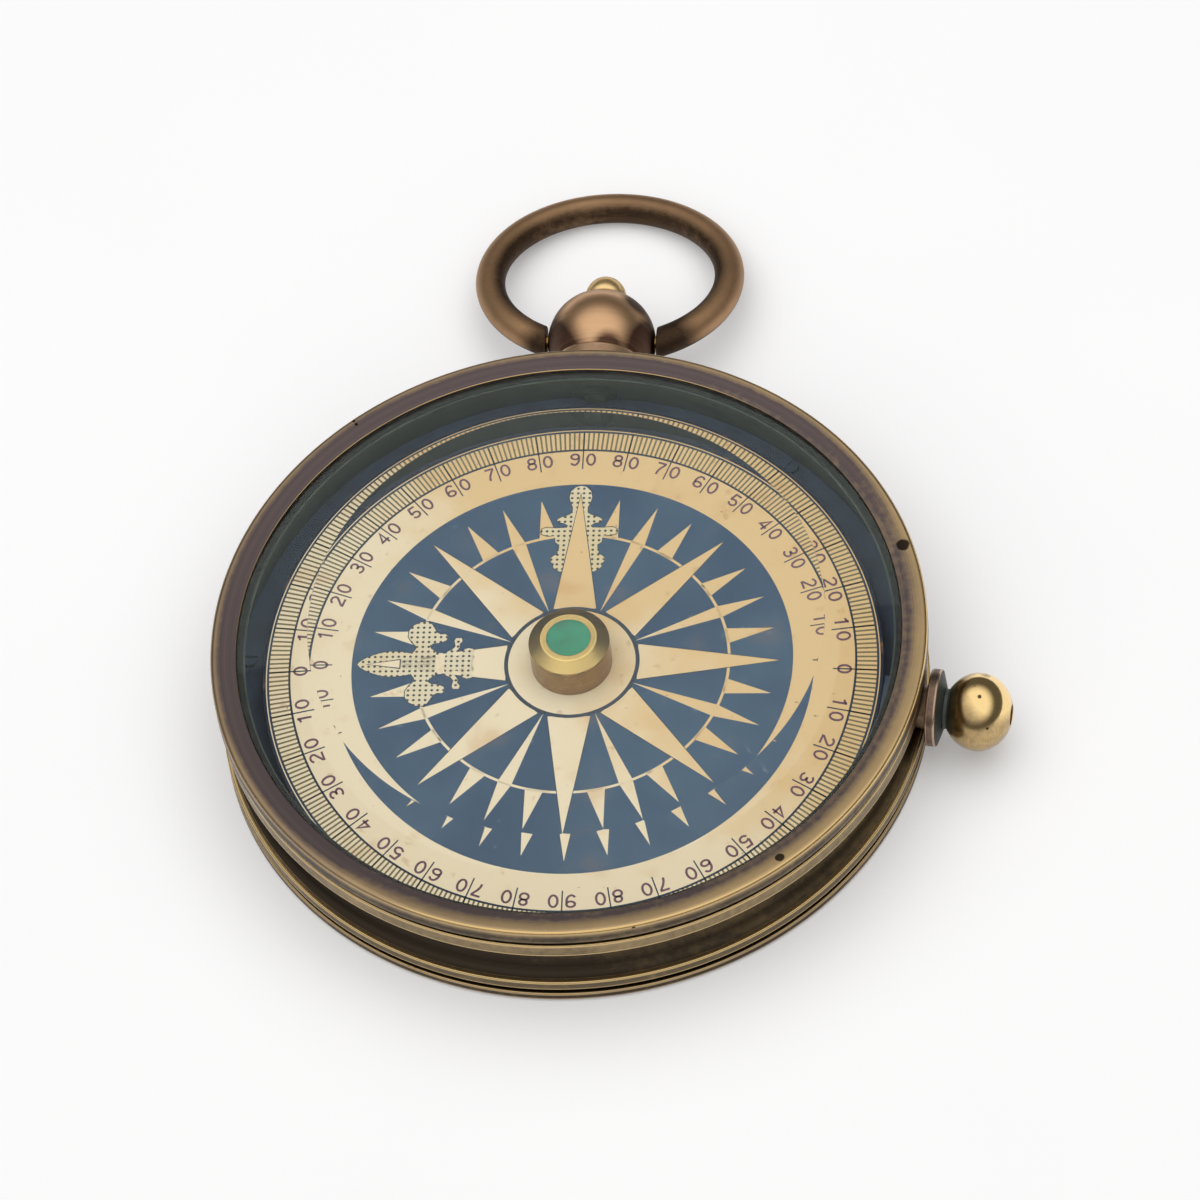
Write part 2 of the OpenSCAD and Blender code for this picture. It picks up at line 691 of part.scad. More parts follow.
// Turned cap with a spigot through the card, a seat for the jewel and one for the inlay
module cap_body() {
    bore_r = spigot_r - spigot_wall;
    jewel_bore_r = jewel_r + seat_fit;
    recess_r = inlay_r + seat_fit;
    recess_z = cap_top - inlay_t;
    color(brass_gold) turned([
        [bore_r, backing_z - hub_nut_t], [spigot_r, backing_z - hub_nut_t],
        [spigot_r, card_top], [cap_r, card_top], [cap_r, cap_top - cap_shoulder_h],
        [cap_top_r, cap_top], [recess_r, cap_top], [recess_r, recess_z], [0, recess_z],
        [0, jewel_z + jewel_h], [jewel_bore_r, jewel_z + jewel_h],
        [jewel_bore_r, jewel_z], [bore_r, jewel_z]]);
}

module cap_inlay() {
    color(inlay_green) translate([0, 0, cap_top - inlay_t]) cylinder(r = inlay_r, h = inlay_t);
}

// Jewel with the hollow that turns on the needle's point
module cap_jewel() {
    color(jewel_red) turned([
        [jewel_mouth_r, jewel_z], [jewel_r, jewel_z], [jewel_r, jewel_z + jewel_h],
        [0, jewel_z + jewel_h], [0, jewel_z + jewel_cup_d]]);
}

// Round collar of the pendant, with a spigot in the case wall
module pendant_collar() {
    edge = collar_edge;
    spigot_l = pendant_collar_y - pendant_spigot_y;
    bore_r = finial_screw_r + seat_fit;
    top_l = spigot_l + pendant_collar_t;
    color(brass_aged) along_pendant(pendant_spigot_y) turned([
        [bore_r, 0], [pendant_spigot_r, 0], [pendant_spigot_r, spigot_l],
        [pendant_collar_r - edge, spigot_l], [pendant_collar_r, spigot_l + edge],
        [pendant_collar_r, top_l - edge], [pendant_collar_r - edge, top_l],
        [bore_r, top_l]]);
}

// Ball of the pendant, cut flat at its seat and under the finial, with the bow's holes,
// and turned about its axis so that its seam meets none of them
module pendant_ball() {
    color(brass_aged) difference() {
        intersection() {
            translate([0, pendant_y, axis_z]) rotate([0, 0, 90]) sphere(r = pendant_ball_r);
            along_pendant(pendant_seat_y)
                cylinder(r = pendant_ball_r + 1, h = finial_y - pendant_seat_y);
        }
        along_pendant(pendant_seat_y - 1)
            cylinder(r = finial_screw_r + seat_fit, h = finial_y - pendant_seat_y + 2);
        for (side = [-1, 1])
            translate([side * (bow_pin_x - slide_gap), pendant_y, axis_z])
                rotate([0, side * 90, 0])
                    cylinder(r = bow_pin_r + run_fit, h = bow_pin_l + 2);
    }
}

// Screw with a domed head, through the ball and the collar into the case
module finial_screw() {
    shank_l = finial_y - finial_screw_end;
    color(brass_gold) along_pendant(finial_screw_end) turned(concat(
        [[0, 0], [finial_screw_r, 0], [finial_screw_r, shank_l], [finial_r, shank_l]],
        arc(0, shank_l + finial_h, finial_r, 0, 90, 12)));
}

module finial_nut() {
    color(steel) along_pendant(finial_nut_y)
        hex_nut(finial_nut_af, finial_nut_t, finial_screw_r + seat_fit);
}

// Lays what is drawn round the bow's hinge line, in the bow's own plane, in its place
module at_bow() {
    translate([0, pendant_y, axis_z]) rotate([-bow_droop, 0, 0]) children();
}

// A ring of points round the wire at an angle of the oval: square to the wire's path,
// or at the wire's two ends square to the pins
function wire_ring(angle, at_end) =
    let (centre = [bow_half_w * sin(angle), bow_reach - bow_half_l * cos(angle)],
         step = [bow_half_w * cos(angle), bow_half_l * sin(angle)],
         along = step / norm(step),
         out = at_end ? [0, -1 / abs(along[0])] : [along[1], -along[0]])
    [for (k = [0:bow_sides - 1])
        let (turn = 360 * k / bow_sides, side = bow_wire_r * cos(turn) * out)
        [centre[0] + side[0], centre[1] + side[1], bow_wire_r * sin(turn)]];

// Faces of a closed tube: its first end, its sides as triangles, and its last end
function tube_faces(rings, sides) = concat(
    [[for (k = [0:sides - 1]) k]],
    [for (i = [0:rings - 1], k = [0:sides - 1], half = [0, 1])
        let (a = i * sides + k, b = i * sides + (k + 1) % sides)
        half == 0 ? [b, a, a + sides] : [b, a + sides, b + sides]],
    [[for (k = [sides - 1:-1:0]) rings * sides + k]]);

// Oval bow of round wire
module bow_ring() {
    points = [for (i = [0:bow_rings])
        each wire_ring(bow_start + (360 - 2 * bow_start) * i / bow_rings,
                       i == 0 || i == bow_rings)];
    color(brass_aged) at_bow() polyhedron(points, tube_faces(bow_rings, bow_sides), convexity = 6);
}

// Two pins that carry the bow's ends in the ball
module bow_pins() {
    color(brass_aged) at_bow() for (side = [-1, 1])
        translate([side * bow_pin_x, 0, 0]) rotate([0, side * 90, 0])
            cylinder(r = bow_pin_r, h = bow_end_x - bow_pin_x);
}

back_cover();
case_body();
bezel_ring();
crystal();
crystal_gasket();
base_plate();
plate_screws();
pivot_post();
post_nut();
pivot_needle();
lift_ring();
inner_bridge();
outer_bridge();
bridge_screws();
pull_bar();
lock_stem();
lock_knob();
lock_bush();
card_disc();
card_backing();
magnet_bars();
magnet_rivets();
hub_nut();
cap_body();
cap_inlay();
cap_jewel();
pendant_collar();
pendant_ball();
finial_screw();
finial_nut();
bow_ring();
bow_pins();
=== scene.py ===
"""Open-face brass pocket compass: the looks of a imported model, in its frame.

The case, crystal, card, pendant, bow and knob are turned, printed or drawn here from
real sizes in millimetres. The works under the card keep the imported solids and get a
finish.
"""

import logging
import math
from dataclasses import dataclass, field
from enum import Enum
from functools import partial
from typing import Callable, NamedTuple, Sequence

import bmesh
import bpy
from mathutils import Euler, Matrix, Vector


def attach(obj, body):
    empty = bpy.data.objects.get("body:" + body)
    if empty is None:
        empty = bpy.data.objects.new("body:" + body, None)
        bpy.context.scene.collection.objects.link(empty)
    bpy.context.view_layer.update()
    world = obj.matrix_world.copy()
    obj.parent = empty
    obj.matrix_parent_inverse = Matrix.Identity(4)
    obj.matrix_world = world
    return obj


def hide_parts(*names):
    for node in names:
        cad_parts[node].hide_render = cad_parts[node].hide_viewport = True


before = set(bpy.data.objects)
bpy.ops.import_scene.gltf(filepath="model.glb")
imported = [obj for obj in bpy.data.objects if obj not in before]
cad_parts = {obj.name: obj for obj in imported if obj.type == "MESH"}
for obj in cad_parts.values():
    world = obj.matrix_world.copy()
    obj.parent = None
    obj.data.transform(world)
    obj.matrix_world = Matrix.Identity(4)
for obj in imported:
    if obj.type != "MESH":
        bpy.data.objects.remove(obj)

Material, Mesh, Piece = bpy.types.Material, bpy.types.Mesh, bpy.types.Object
Node, Socket = bpy.types.Node, bpy.types.NodeSocket
AddNode = Callable[..., Node]
Finishes = dict[str, Material]
Point = tuple[float, float]
Triple = tuple[float, float, float]
Spot = tuple[float, float, float, float]
Section = Sequence[tuple[float, ...]]

MM = 0.001
# A length, in mm, that counts as none
TINY = 1e-6
UP = (0, 0, 1)
LOG = logging.getLogger("pocket_compass")
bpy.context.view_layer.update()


class Body(Enum):
    """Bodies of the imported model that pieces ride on."""

    CASE = "case"
    PLUNGER = "plunger"
    LIFTER = "lifter"
    CARD = "card"
    BOW = "bow"


class Corner(NamedTuple):
    """A corner of a turned section: radius, height, rounding and wear there."""

    r: float
    z: float
    round: float = 0.0
    wear: float = 0.0


# ---------------------------------------------------------------- node helper


def linear(code: str) -> tuple[float, float, float, float]:
    """Turns an sRGB hex colour into linear RGBA.

    Args:
        code: colour as "#rrggbb".

    Returns:
        Linear red, green, blue and an alpha of 1.
    """
    parts = [int(code[i : i + 2], 16) / 255 for i in (1, 3, 5)]
    lin = [p / 12.92 if p <= 0.04045 else ((p + 0.055) / 1.055) ** 2.4 for p in parts]
    return (*lin, 1.0)


def scale_of(size_mm: float) -> float:
    """Returns the scale at which a pattern's grains are so many mm across."""
    return 1 / (size_mm * MM)


def add_node(
    tree: bpy.types.NodeTree,
    kind: str,
    *values: object,
    links: dict[str | int, object] | None = None,
    **settings: object,
) -> Node:
    """Adds a node with its settings and its input values or links.

    Args:
        tree: tree that gets the node.
        kind: Blender's type name of the node.
        *values: values, sockets or nodes for the enabled inputs, in order.
        links: input name or index to a value, a socket or a node.
        **settings: properties of the node.

    Returns:
        The new node.
    """
    node = tree.nodes.new(kind)
    for key, value in settings.items():
        setattr(node, key, value)
    ready = [socket for socket in node.inputs if socket.enabled]
    pairs = [*zip(ready, values), *((node.inputs[k], v) for k, v in (links or {}).items())]
    for socket, value in pairs:
        if isinstance(value, Node):
            value = next(out for out in value.outputs if out.enabled)
        if isinstance(value, Socket):
            tree.links.new(value, socket)
        else:
            socket.default_value = value
    return node


# ------------------------------------------------------------------- finishes

MATH, MIX, NOISE = "ShaderNodeMath", "ShaderNodeMix", "ShaderNodeTexNoise"
RANGE, BUMP, VECTOR = "ShaderNodeMapRange", "ShaderNodeBump", "ShaderNodeVectorMath"
PRINCIPLED = "ShaderNodeBsdfPrincipled"
SMOOTH = "SMOOTHSTEP"


@dataclass(frozen=True)
class Finish:
    """A surface finish, which makes one material."""

    name: str

    def make(self) -> Material:
        """Builds the material from its shading.

        Returns:
            The material.
        """
        material = bpy.data.materials.new(self.name)
        material.use_nodes = True
        material.node_tree.nodes.clear()
        node = partial(add_node, material.node_tree)
        here = node("ShaderNodeTexCoord").outputs["Object"]
        node("ShaderNodeOutputMaterial", self.shade(node, here))
        return material

    def shade(self, node: AddNode, here: Socket) -> Node:
        """Adds the shading nodes.

        Args:
            node: adds a node to the material's tree.
            here: the piece's own coordinates, in metres in the frame.

        Returns:
            The shader node.
        """
        raise NotImplementedError


@dataclass(frozen=True)
class TurnedBrass(Finish):
    """Brass turned on a lathe and left to darken: fine rings, blotchy oxide, worn edges.

    Oxide is darker, browner and rougher than the metal under it. It lies in blotches and
    in the tool's rings, and hands rub it off where the mesh's wear attribute says; on the
    bezel that attribute also carries a painted highlight.
    Cover is how much of it there is, mottle how uneven it lies, and lean how it grows
    along each axis; on the case, its groove and the bezel the lean paints light and shade
    as a gradient. Shine and dull are the roughness of the metal and of the oxide.
    """

    metal: str = "#c2a36a"
    oxide: str = "#5c4c38"
    tint: str = "#7d6a4c"
    cover: float = 0.75
    mottle: float = 0.5
    shine: float = 0.26
    dull: float = 0.44
    ring_mm: float = 0.12
    ring_depth: float = 0.25
    rings_in_band: float = 7.0
    blotch_mm: float = 8.0
    pit_mm: float = 0.8
    centre_mm: Triple = (0.0, 0.0, 0.0)
    turn_deg: Triple = (0.0, 0.0, 0.0)
    lean: Triple = (0.0, 0.0, 0.0)
    patches_mm: tuple[Spot, ...] = ()
    marks_mm: tuple[Spot, ...] = ()
    mark_tone: str = "#1d1814"

    def axis_map(self) -> tuple[Vector, Euler]:
        """Returns the shift and turn that put the turning axis on Z."""
        turn = Euler([math.radians(a) for a in self.turn_deg]).to_matrix()
        return -(turn @ (Vector(self.centre_mm) * MM)), turn.to_euler()

    def shade(self, node: AddNode, here: Socket) -> Node:
        """Adds oxide over metal, with rings about the piece's turning axis."""
        shift, turn = self.axis_map()
        mapped = node("ShaderNodeMapping", here, shift, turn)
        split = node("ShaderNodeSeparateXYZ", mapped).outputs
        flat = node("ShaderNodeCombineXYZ", split[0], split[1])
        radius = node(VECTOR, flat, operation="LENGTH")
        section = node("ShaderNodeCombineXYZ", radius, 0.0, split[2])
        rings = node(NOISE, section, scale_of(self.ring_mm), 3.0)
        bands = node(NOISE, section, scale_of(self.ring_mm * self.rings_in_band), 1.0)
        blotch = node(NOISE, here, scale_of(self.blotch_mm), 3.0)
        fine = node(NOISE, here, scale_of(self.pit_mm), 5.0)
        wear = node("ShaderNodeAttribute", attribute_name="wear").outputs["Fac"]
        low = self.cover - self.mottle
        cloud = node(MATH, blotch, 2 * self.mottle, low, operation="MULTIPLY_ADD")
        speckle = node(MATH, fine, 0.5, -0.25, operation="MULTIPLY_ADD")
        lines = node(MATH, rings, 0.4, -0.2, operation="MULTIPLY_ADD")
        side = node(VECTOR, here, self.lean, operation="DOT_PRODUCT")
        spread = node(MATH, node(MATH, cloud, speckle), side)
        for *place, size in self.patches_mm:
            reach = node(VECTOR, here, [v * MM for v in place], operation="DISTANCE")
            near, far = 0.15 * size * MM, 1.1 * size * MM
            patch = node(RANGE, reach, near, far, 1.0, 0.0, interpolation_type=SMOOTH)
            spread = node(MATH, spread, patch)
        rubbing = node(MATH, fine, 0.9, 0.7, operation="MULTIPLY_ADD")
        rubbed = node(MATH, wear, rubbing, operation="MULTIPLY")
        kept = node(MATH, spread, rubbed, operation="SUBTRACT", use_clamp=True)
        factor = node(MATH, kept, lines, use_clamp=True)
        skin = node(MIX, bands, linear(self.oxide), linear(self.tint), data_type="RGBA")
        colour = node(MIX, factor, linear(self.metal), skin, data_type="RGBA")
        rough = node(MATH, factor, self.dull - self.shine, self.shine, operation="MULTIPLY_ADD")
        for *place, size in self.marks_mm:
            reach = node(VECTOR, here, [v * MM for v in place], operation="DISTANCE")
            ragged = node(MATH, fine, 0.5 * size * MM, reach, operation="MULTIPLY_ADD")
            near, far = size * MM, 1.3 * size * MM
            mark = node(RANGE, ragged, near, far, 0.9, 0.0, interpolation_type=SMOOTH)
            colour = node(MIX, mark, colour, linear(self.mark_tone), data_type="RGBA")
            rough = node(MATH, rough, node(MATH, mark, 0.3, operation="MULTIPLY"))
        links = {"Height": rings, "Strength": self.ring_depth, "Distance": 0.01 * MM}
        grooves = node(BUMP, links=links)
        links = {"Height": fine, "Strength": 0.3, "Distance": 0.02 * MM, "Normal": grooves}
        pits = node(BUMP, links=links)
        links = {"Base Color": colour, "Metallic": 1.0, "Roughness": rough, "Normal": pits}
        return node(PRINCIPLED, links=links)


@dataclass(frozen=True)
class WorksMetal(Finish):
    """Small machined metal inside the works: one metal, faintly clouded, fine scratches."""

    metal: str = "#c49a54"
    dark: str = "#8c6a38"
    rough: float = 0.3
    metallic: float = 1.0
    cloud_mm: float = 3.0
    scratch_mm: float = 0.25

    def shade(self, node: AddNode, here: Socket) -> Node:
        """Adds clouds and scratches."""
        spread = node(NOISE, here, scale_of(self.cloud_mm), 4.0)
        cloud = node(RANGE, spread, 0.35, 0.75, interpolation_type=SMOOTH)
        scratch = node(NOISE, here, scale_of(self.scratch_mm), 3.0)
        colour = node(MIX, cloud, linear(self.metal), linear(self.dark), data_type="RGBA")
        rough = node(MATH, scratch, 0.2, self.rough - 0.1, operation="MULTIPLY_ADD")
        bump = node(BUMP, links={"Height": scratch, "Strength": 0.2, "Distance": 0.01 * MM})
        links = {"Base Color": colour, "Metallic": self.metallic, "Roughness": rough, "Normal": bump}
        return node(PRINCIPLED, links=links)


@dataclass(frozen=True)
class CardPrint(Finish):
    """Ink or bare ground on the card's old uncoated paper.

    The same stains, flecks and scuffs run through paper and inks, because all of them
    read the card's own coordinates. Paper looks soft and warm; ink is even, and pale
    where it has rubbed off. With dots, small ink dots stand in rows on the ground, and
    beyond the edge radius the card's rim and cut side are painted dark as the shade under
    the bezel.
    """

    ink: str = "#ead3a6"
    faded: str = "#e2c38f"
    stain: float = 1.0
    scuff: float = 0.0
    rough: float = 0.75
    dots_deg: float | None = None
    dot_pitch_mm: float = 0.62
    dot_mm: float = 0.3
    dot_tone: str = "#41403c"
    edge_mm: float | None = None
    edge_tone: str = "#20263a"
    cloud_mm: float = 11.0
    fibre_mm: float = 0.3
    lean: Triple = (0.0, 0.0, 0.0)

    def shade(self, node: AddNode, here: Socket) -> Node:
        """Adds the print, its dots and the paper's age."""
        side = node(VECTOR, here, self.lean, operation="DOT_PRODUCT")
        patchy = node(MATH, node(NOISE, here, scale_of(self.cloud_mm), 5.0), side)
        cloud = node(RANGE, patchy, 0.35, 0.7, interpolation_type=SMOOTH)
        colour = node(MIX, cloud, linear(self.ink), linear(self.faded), data_type="RGBA")
        if self.dots_deg is not None:
            dots = self.dots(node, here)
            colour = node(MIX, dots, colour, linear(self.dot_tone), data_type="RGBA")
        # Painted shade: beyond this radius the card turns dark, as under the bezel's overhang
        if self.edge_mm is not None:
            flat = node(VECTOR, here, (1.0, 1.0, 0.0), operation="MULTIPLY")
            radius = node(VECTOR, flat, operation="LENGTH")
            beyond = node(RANGE, radius, (self.edge_mm - 0.03) * MM, (self.edge_mm + 0.03) * MM)
            colour = node(MIX, beyond, colour, linear(self.edge_tone), data_type="RGBA")
        # Stains, foxing, flecks, scuffs and rubbed ink: size in mm, detail, where in the noise
        # each begins and is full, strength and tone
        aging = (
            (6.0, 4.0, 0.57, 0.75, 0.4 * self.stain, "#d39a62"),
            (1.6, 3.0, 0.64, 0.76, 0.35 * self.stain, "#b98653"),
            (0.5, 2.0, 0.72, 0.78, 0.75 * self.stain, "#6f5236"),
            (0.32, 3.0, 0.72, 0.78, self.scuff, "#d8d2c0"),
            (0.9, 4.0, 0.69, 0.74, 0.7 * self.scuff, "#8d98a3"),
        )
        for size, detail, low, high, strength, tone in aging:
            spread = node(NOISE, here, scale_of(size), detail)
            mask = node(RANGE, spread, low, high, 0.0, strength, interpolation_type=SMOOTH)
            colour = node(MIX, mask, colour, linear(tone), data_type="RGBA")
        fibre = node(NOISE, here, scale_of(self.fibre_mm), 3.0)
        bump = node(BUMP, links={"Height": fibre, "Strength": 0.04, "Distance": 0.02 * MM})
        links = {"Base Color": colour, "Roughness": self.rough, "Normal": bump}
        return node(PRINCIPLED, links=links | {"Specular IOR Level": 0.2})

    def dots(self, node: AddNode, here: Socket) -> Node:
        """Adds rows of dots along an ornament and returns their mask."""
        pitch = scale_of(self.dot_pitch_mm)
        links = {"Rotation": (0, 0, math.radians(self.dots_deg)), "Scale": (pitch, pitch, 0.0)}
        grid = node("ShaderNodeMapping", here, links=links)
        cell = node(VECTOR, grid, operation="FRACTION")
        offset = node(VECTOR, cell, (0.5, 0.5, 0.0), operation="SUBTRACT")
        reach = node(VECTOR, offset, operation="LENGTH")
        edge = self.dot_mm / (2 * self.dot_pitch_mm)
        return node(RANGE, reach, edge * 1.2, edge * 0.8, interpolation_type=SMOOTH)


@dataclass(frozen=True)
class PolishedCrystal(Finish):
    """Ground and polished mineral glass: clear, with a faint green in its depth."""

    tint: str = "#eef4ef"
    sheen: str = "#b4bcba"
    ior: float = 1.52
    scratch_mm: float = 0.5

    def shade(self, node: AddNode, here: Socket) -> Node:
        """Adds clear glass with a few fine scratches from handling."""
        scratch = node(NOISE, here, scale_of(self.scratch_mm), 6.0)
        rough = node(RANGE, scratch, 0.86, 0.94, 0.0, 0.02)
        links = {"Base Color": linear(self.tint), "Specular Tint": linear(self.sheen)}
        links |= {"Roughness": rough, "IOR": self.ior, "Transmission Weight": 1.0}
        return node(PRINCIPLED, links=links)


@dataclass(frozen=True)
class Filler(Finish):
    """Coloured enamel, stone or rubber set in a seat: deep where it is thick, cloudy."""

    body: str = "#2f9a74"
    depth: str = "#1f6f55"
    rough: float = 0.2
    size_mm: float = 2.5

    def shade(self, node: AddNode, here: Socket) -> Node:
        """Adds the cloudy colour."""
        spread = node(NOISE, here, scale_of(self.size_mm), 2.0)
        cloud = node(RANGE, spread, 0.35, 0.7, interpolation_type=SMOOTH)
        colour = node(MIX, cloud, linear(self.body), linear(self.depth), data_type="RGBA")
        return node(PRINCIPLED, links={"Base Color": colour, "Roughness": self.rough})


@dataclass(frozen=True)
class TableCard(Finish):
    """White card under the compass, which the eye sees near white around its shadow."""

    lift: float = 0.2
    tones: tuple[str, str] = ("#dfdfe0", "#e5e5e6")
    cloud_mm: float = 60.0

    def shade(self, node: AddNode, here: Socket) -> Node:
        """Adds matt white, lifted where the eye, metal and glass see it."""
        cloud = node(NOISE, here, scale_of(self.cloud_mm), 2.0)
        colour = node(MIX, cloud, *(linear(tone) for tone in self.tones), data_type="RGBA")
        path = node("ShaderNodeLightPath").outputs
        seen = path["Is Camera Ray"]
        for ray in ("Is Glossy Ray", "Is Transmission Ray"):
            seen = node(MATH, seen, path[ray], operation="MAXIMUM")
        strength = node(MATH, seen, self.lift, operation="MULTIPLY")
        glow = node("ShaderNodeEmission", (1.0, 1.0, 1.0, 1.0), strength)
        return node("ShaderNodeAddShader", node("ShaderNodeBsdfDiffuse", colour), glow)


# ---------------------------------------------------------------- mesh helpers


def show(mesh: Mesh, *finishes: Material) -> Piece:
    """Puts a mesh in the scene as a piece of its name, with its finishes, and returns the piece."""
    piece = bpy.data.objects.new(mesh.name, mesh)
    bpy.context.scene.collection.objects.link(piece)
    for finish in finishes[len(mesh.materials) :]:
        mesh.materials.append(finish)
    return piece


def settle(piece: Piece, body: Body, solid: str | None = None) -> None:
    """Puts a piece on its body and reports it.

    Args:
        piece: the finished piece.
        body: body that it moves with.
        solid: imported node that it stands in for, if any.
    """
    if solid:
        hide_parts(solid)
    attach(piece, body.value)
    LOG.info("piece %s on %s", piece.name, body.value)


def rub(
    mesh: Mesh,
    way: Triple | Callable[[Vector], Vector],
    reach: Point,
    amount: float,
    share: Callable[[Vector], float] | None = None,
) -> None:
    """Adds wear to the faces that turn one way, where hands and cloth rub them; on the bezel it also
    paints a highlight where they face the front and the right.

    Args:
        mesh: a mesh with its normals.
        way: the rubbed direction, or what gives it at a place in mm.
        reach: how far a normal must turn that way for no wear and for all of it.
        amount: wear where it is all there.
        share: gives the part of it that a place in mm gets.
    """
    low, high = reach
    if "wear" not in mesh.attributes:
        mesh.attributes.new("wear", "FLOAT", "POINT")
    worn = mesh.attributes["wear"].data
    for vert, value in zip(mesh.vertices, worn):
        place = vert.co / MM
        toward = way(place) if callable(way) else Vector(way)
        t = (vert.normal.dot(toward.normalized()) - low) / (high - low)
        t = max(0.0, min(1.0, t))
        part = share(place) if share else 1.0
        value.value = max(value.value, amount * part * t * t * (3 - 2 * t))


def soften(corners: Section, fade: float = 0.25, steps: int = 5) -> list[Corner]:
    """Rounds a section's corners, with wear on the rounding and none beside it.

    Args:
        corners: the fields of each corner, in order round the closed section.
        fade: distance over which wear fades on the flats, in mm.
        steps: segments in each rounding.

    Returns:
        The section's points, in order.
    """
    corners = [Corner(*c) for c in corners]
    out: list[Corner] = []
    count = len(corners)
    for i, c in enumerate(corners):
        if c.round <= 0:
            out.append(c)
            continue
        here = Vector((c.r, c.z))
        sides = []
        for other in (corners[i - 1], corners[(i + 1) % count]):
            arm = Vector((other.r, other.z)) - here
            sides.append((arm.normalized(), arm.length))
        (d1, l1), (d2, l2) = sides
        half = math.acos(max(-1.0, min(1.0, d1.dot(d2)))) / 2
        reach = min(c.round / math.tan(half), 0.45 * l1, 0.45 * l2)
        radius = reach * math.tan(half)
        centre = here + (d1 + d2).normalized() * (radius / math.sin(half))
        start, end = here + d1 * reach, here + d2 * reach
        if l1 > 2 * (reach + fade):
            p = start + d1 * fade
            out.append(Corner(p.x, p.y))
        a0 = math.atan2(start.y - centre.y, start.x - centre.x)
        a1 = math.atan2(end.y - centre.y, end.x - centre.x)
        sweep = (a1 - a0 + math.pi) % (2 * math.pi) - math.pi
        for k in range(steps + 1):
            a = a0 + sweep * k / steps
            x, y = centre.x + radius * math.cos(a), centre.y + radius * math.sin(a)
            out.append(Corner(x, y, 0, c.wear))
        if l2 > 2 * (reach + fade):
            p = end + d2 * fade
            out.append(Corner(p.x, p.y))
    return out


def turned_mesh(
    name: str,
    section: Section,
    steps: int = 256,
    place: Matrix | None = None,
    paint: Callable[[float, float], int] | None = None,
    sharp_deg: float = 32.0,
) -> Mesh:
    """Spins a closed section about Z into a closed mesh.

    Args:
        name: name of the mesh.
        section: the fields of each corner in order; one on the axis becomes a pole.
        steps: segments round the axis.
        place: where the turned piece goes, in mm.
        paint: material index from the middle radius and height of a face.
        sharp_deg: edges sharper than this stay sharp.

    Returns:
        The mesh, in metres, with its faces outwards and a "wear" value on each point.
    """
    place = place or Matrix.Identity(4)
    section = [Corner(*c) for c in section]
    verts: list[Vector] = []
    wear: list[float] = []
    rings: list[list[int]] = []
    for c in section:
        if c.r < TINY:
            rings.append([len(verts)] * steps)
            verts.append(Vector((0, 0, c.z)))
            wear.append(c.wear)
            continue
        rings.append(list(range(len(verts), len(verts) + steps)))
        for k in range(steps):
            a = 2 * math.pi * k / steps
            verts.append(Vector((c.r * math.cos(a), c.r * math.sin(a), c.z)))
            wear.append(c.wear)
    area = sum(a.r * b.z - b.r * a.z for a, b in zip(section, section[1:] + section[:1]))
    faces: list[tuple[int, ...]] = []
    marks: list[int] = []
    for i, ring in enumerate(rings):
        j = (i + 1) % len(rings)
        if section[i].r < TINY and section[j].r < TINY:
            continue
        other = rings[j]
        mid = ((section[i].r + section[j].r) / 2, (section[i].z + section[j].z) / 2)
        for k in range(steps):
            m = (k + 1) % steps
            loop = [ring[k], ring[m], other[m], other[k]]
            if area < 0:
                loop.reverse()
            face = tuple(dict.fromkeys(loop))
            if len(face) > 2:
                faces.append(face)
                marks.append(paint(*mid) if paint else 0)
    mesh = bpy.data.meshes.new(name)
    mesh.from_pydata([(place @ v) * MM for v in verts], [], faces)
    mesh.attributes.new("wear", "FLOAT", "POINT").data.foreach_set("value", wear)
    mesh.shade_smooth()
    mesh.polygons.foreach_set("material_index", marks)
    mesh.set_sharp_from_angle(angle=math.radians(sharp_deg))
    mesh.update()
    return mesh


def slab_mesh(
    name: str, rings: Sequence[Sequence[Point]], low: float, high: float, strip: bool = False
) -> Mesh:
    """Makes thin flat closed pieces from outlines, in mm.

    Args:
        name: name of the mesh.
        rings: outlines, each in order, without the first point again.
        low: height of their underside.
        high: height of their top.
        strip: whether an outline is a stroke, with its left edge first and its right
            edge back, so that its faces go across it.

    Returns:
        The mesh, in metres.
    """
    shape = bmesh.new()
    for ring in rings:
        count = len(ring)
        bottom = [shape.verts.new((x * MM, y * MM, low * MM)) for x, y in ring]
        top = [shape.verts.new((x * MM, y * MM, high * MM)) for x, y in ring]
        for i in range(count):
            j = (i + 1) % count
            shape.faces.new((bottom[i], bottom[j], top[j], top[i]))
        if strip:
            for i in range(count // 2 - 1):
                j = count - 1 - i
                shape.faces.new((top[i], top[i + 1], top[j - 1], top[j]))
                shape.faces.new((bottom[j], bottom[j - 1], bottom[i + 1], bottom[i]))
        else:
            shape.faces.new(top)
            shape.faces.new(list(reversed(bottom)))
    bmesh.ops.recalc_face_normals(shape, faces=shape.faces[:])
    if not strip:
        caps = [f for f in shape.faces if len(f.verts) > 4]
        bmesh.ops.triangulate(shape, faces=caps, ngon_method="EAR_CLIP")
    mesh = bpy.data.meshes.new(name)
    shape.to_mesh(mesh)
    shape.free()
    return mesh


def arc(
    x: float, y: float, rx: float, ry: float, start_deg: float, end_deg: float, steps: int = 12
) -> list[Point]:
    """Returns points along a part of an oval."""
    angles = [math.radians(start_deg + (end_deg - start_deg) * k / steps) for k in range(steps + 1)]
    return [(x + rx * math.cos(a), y + ry * math.sin(a)) for a in angles]


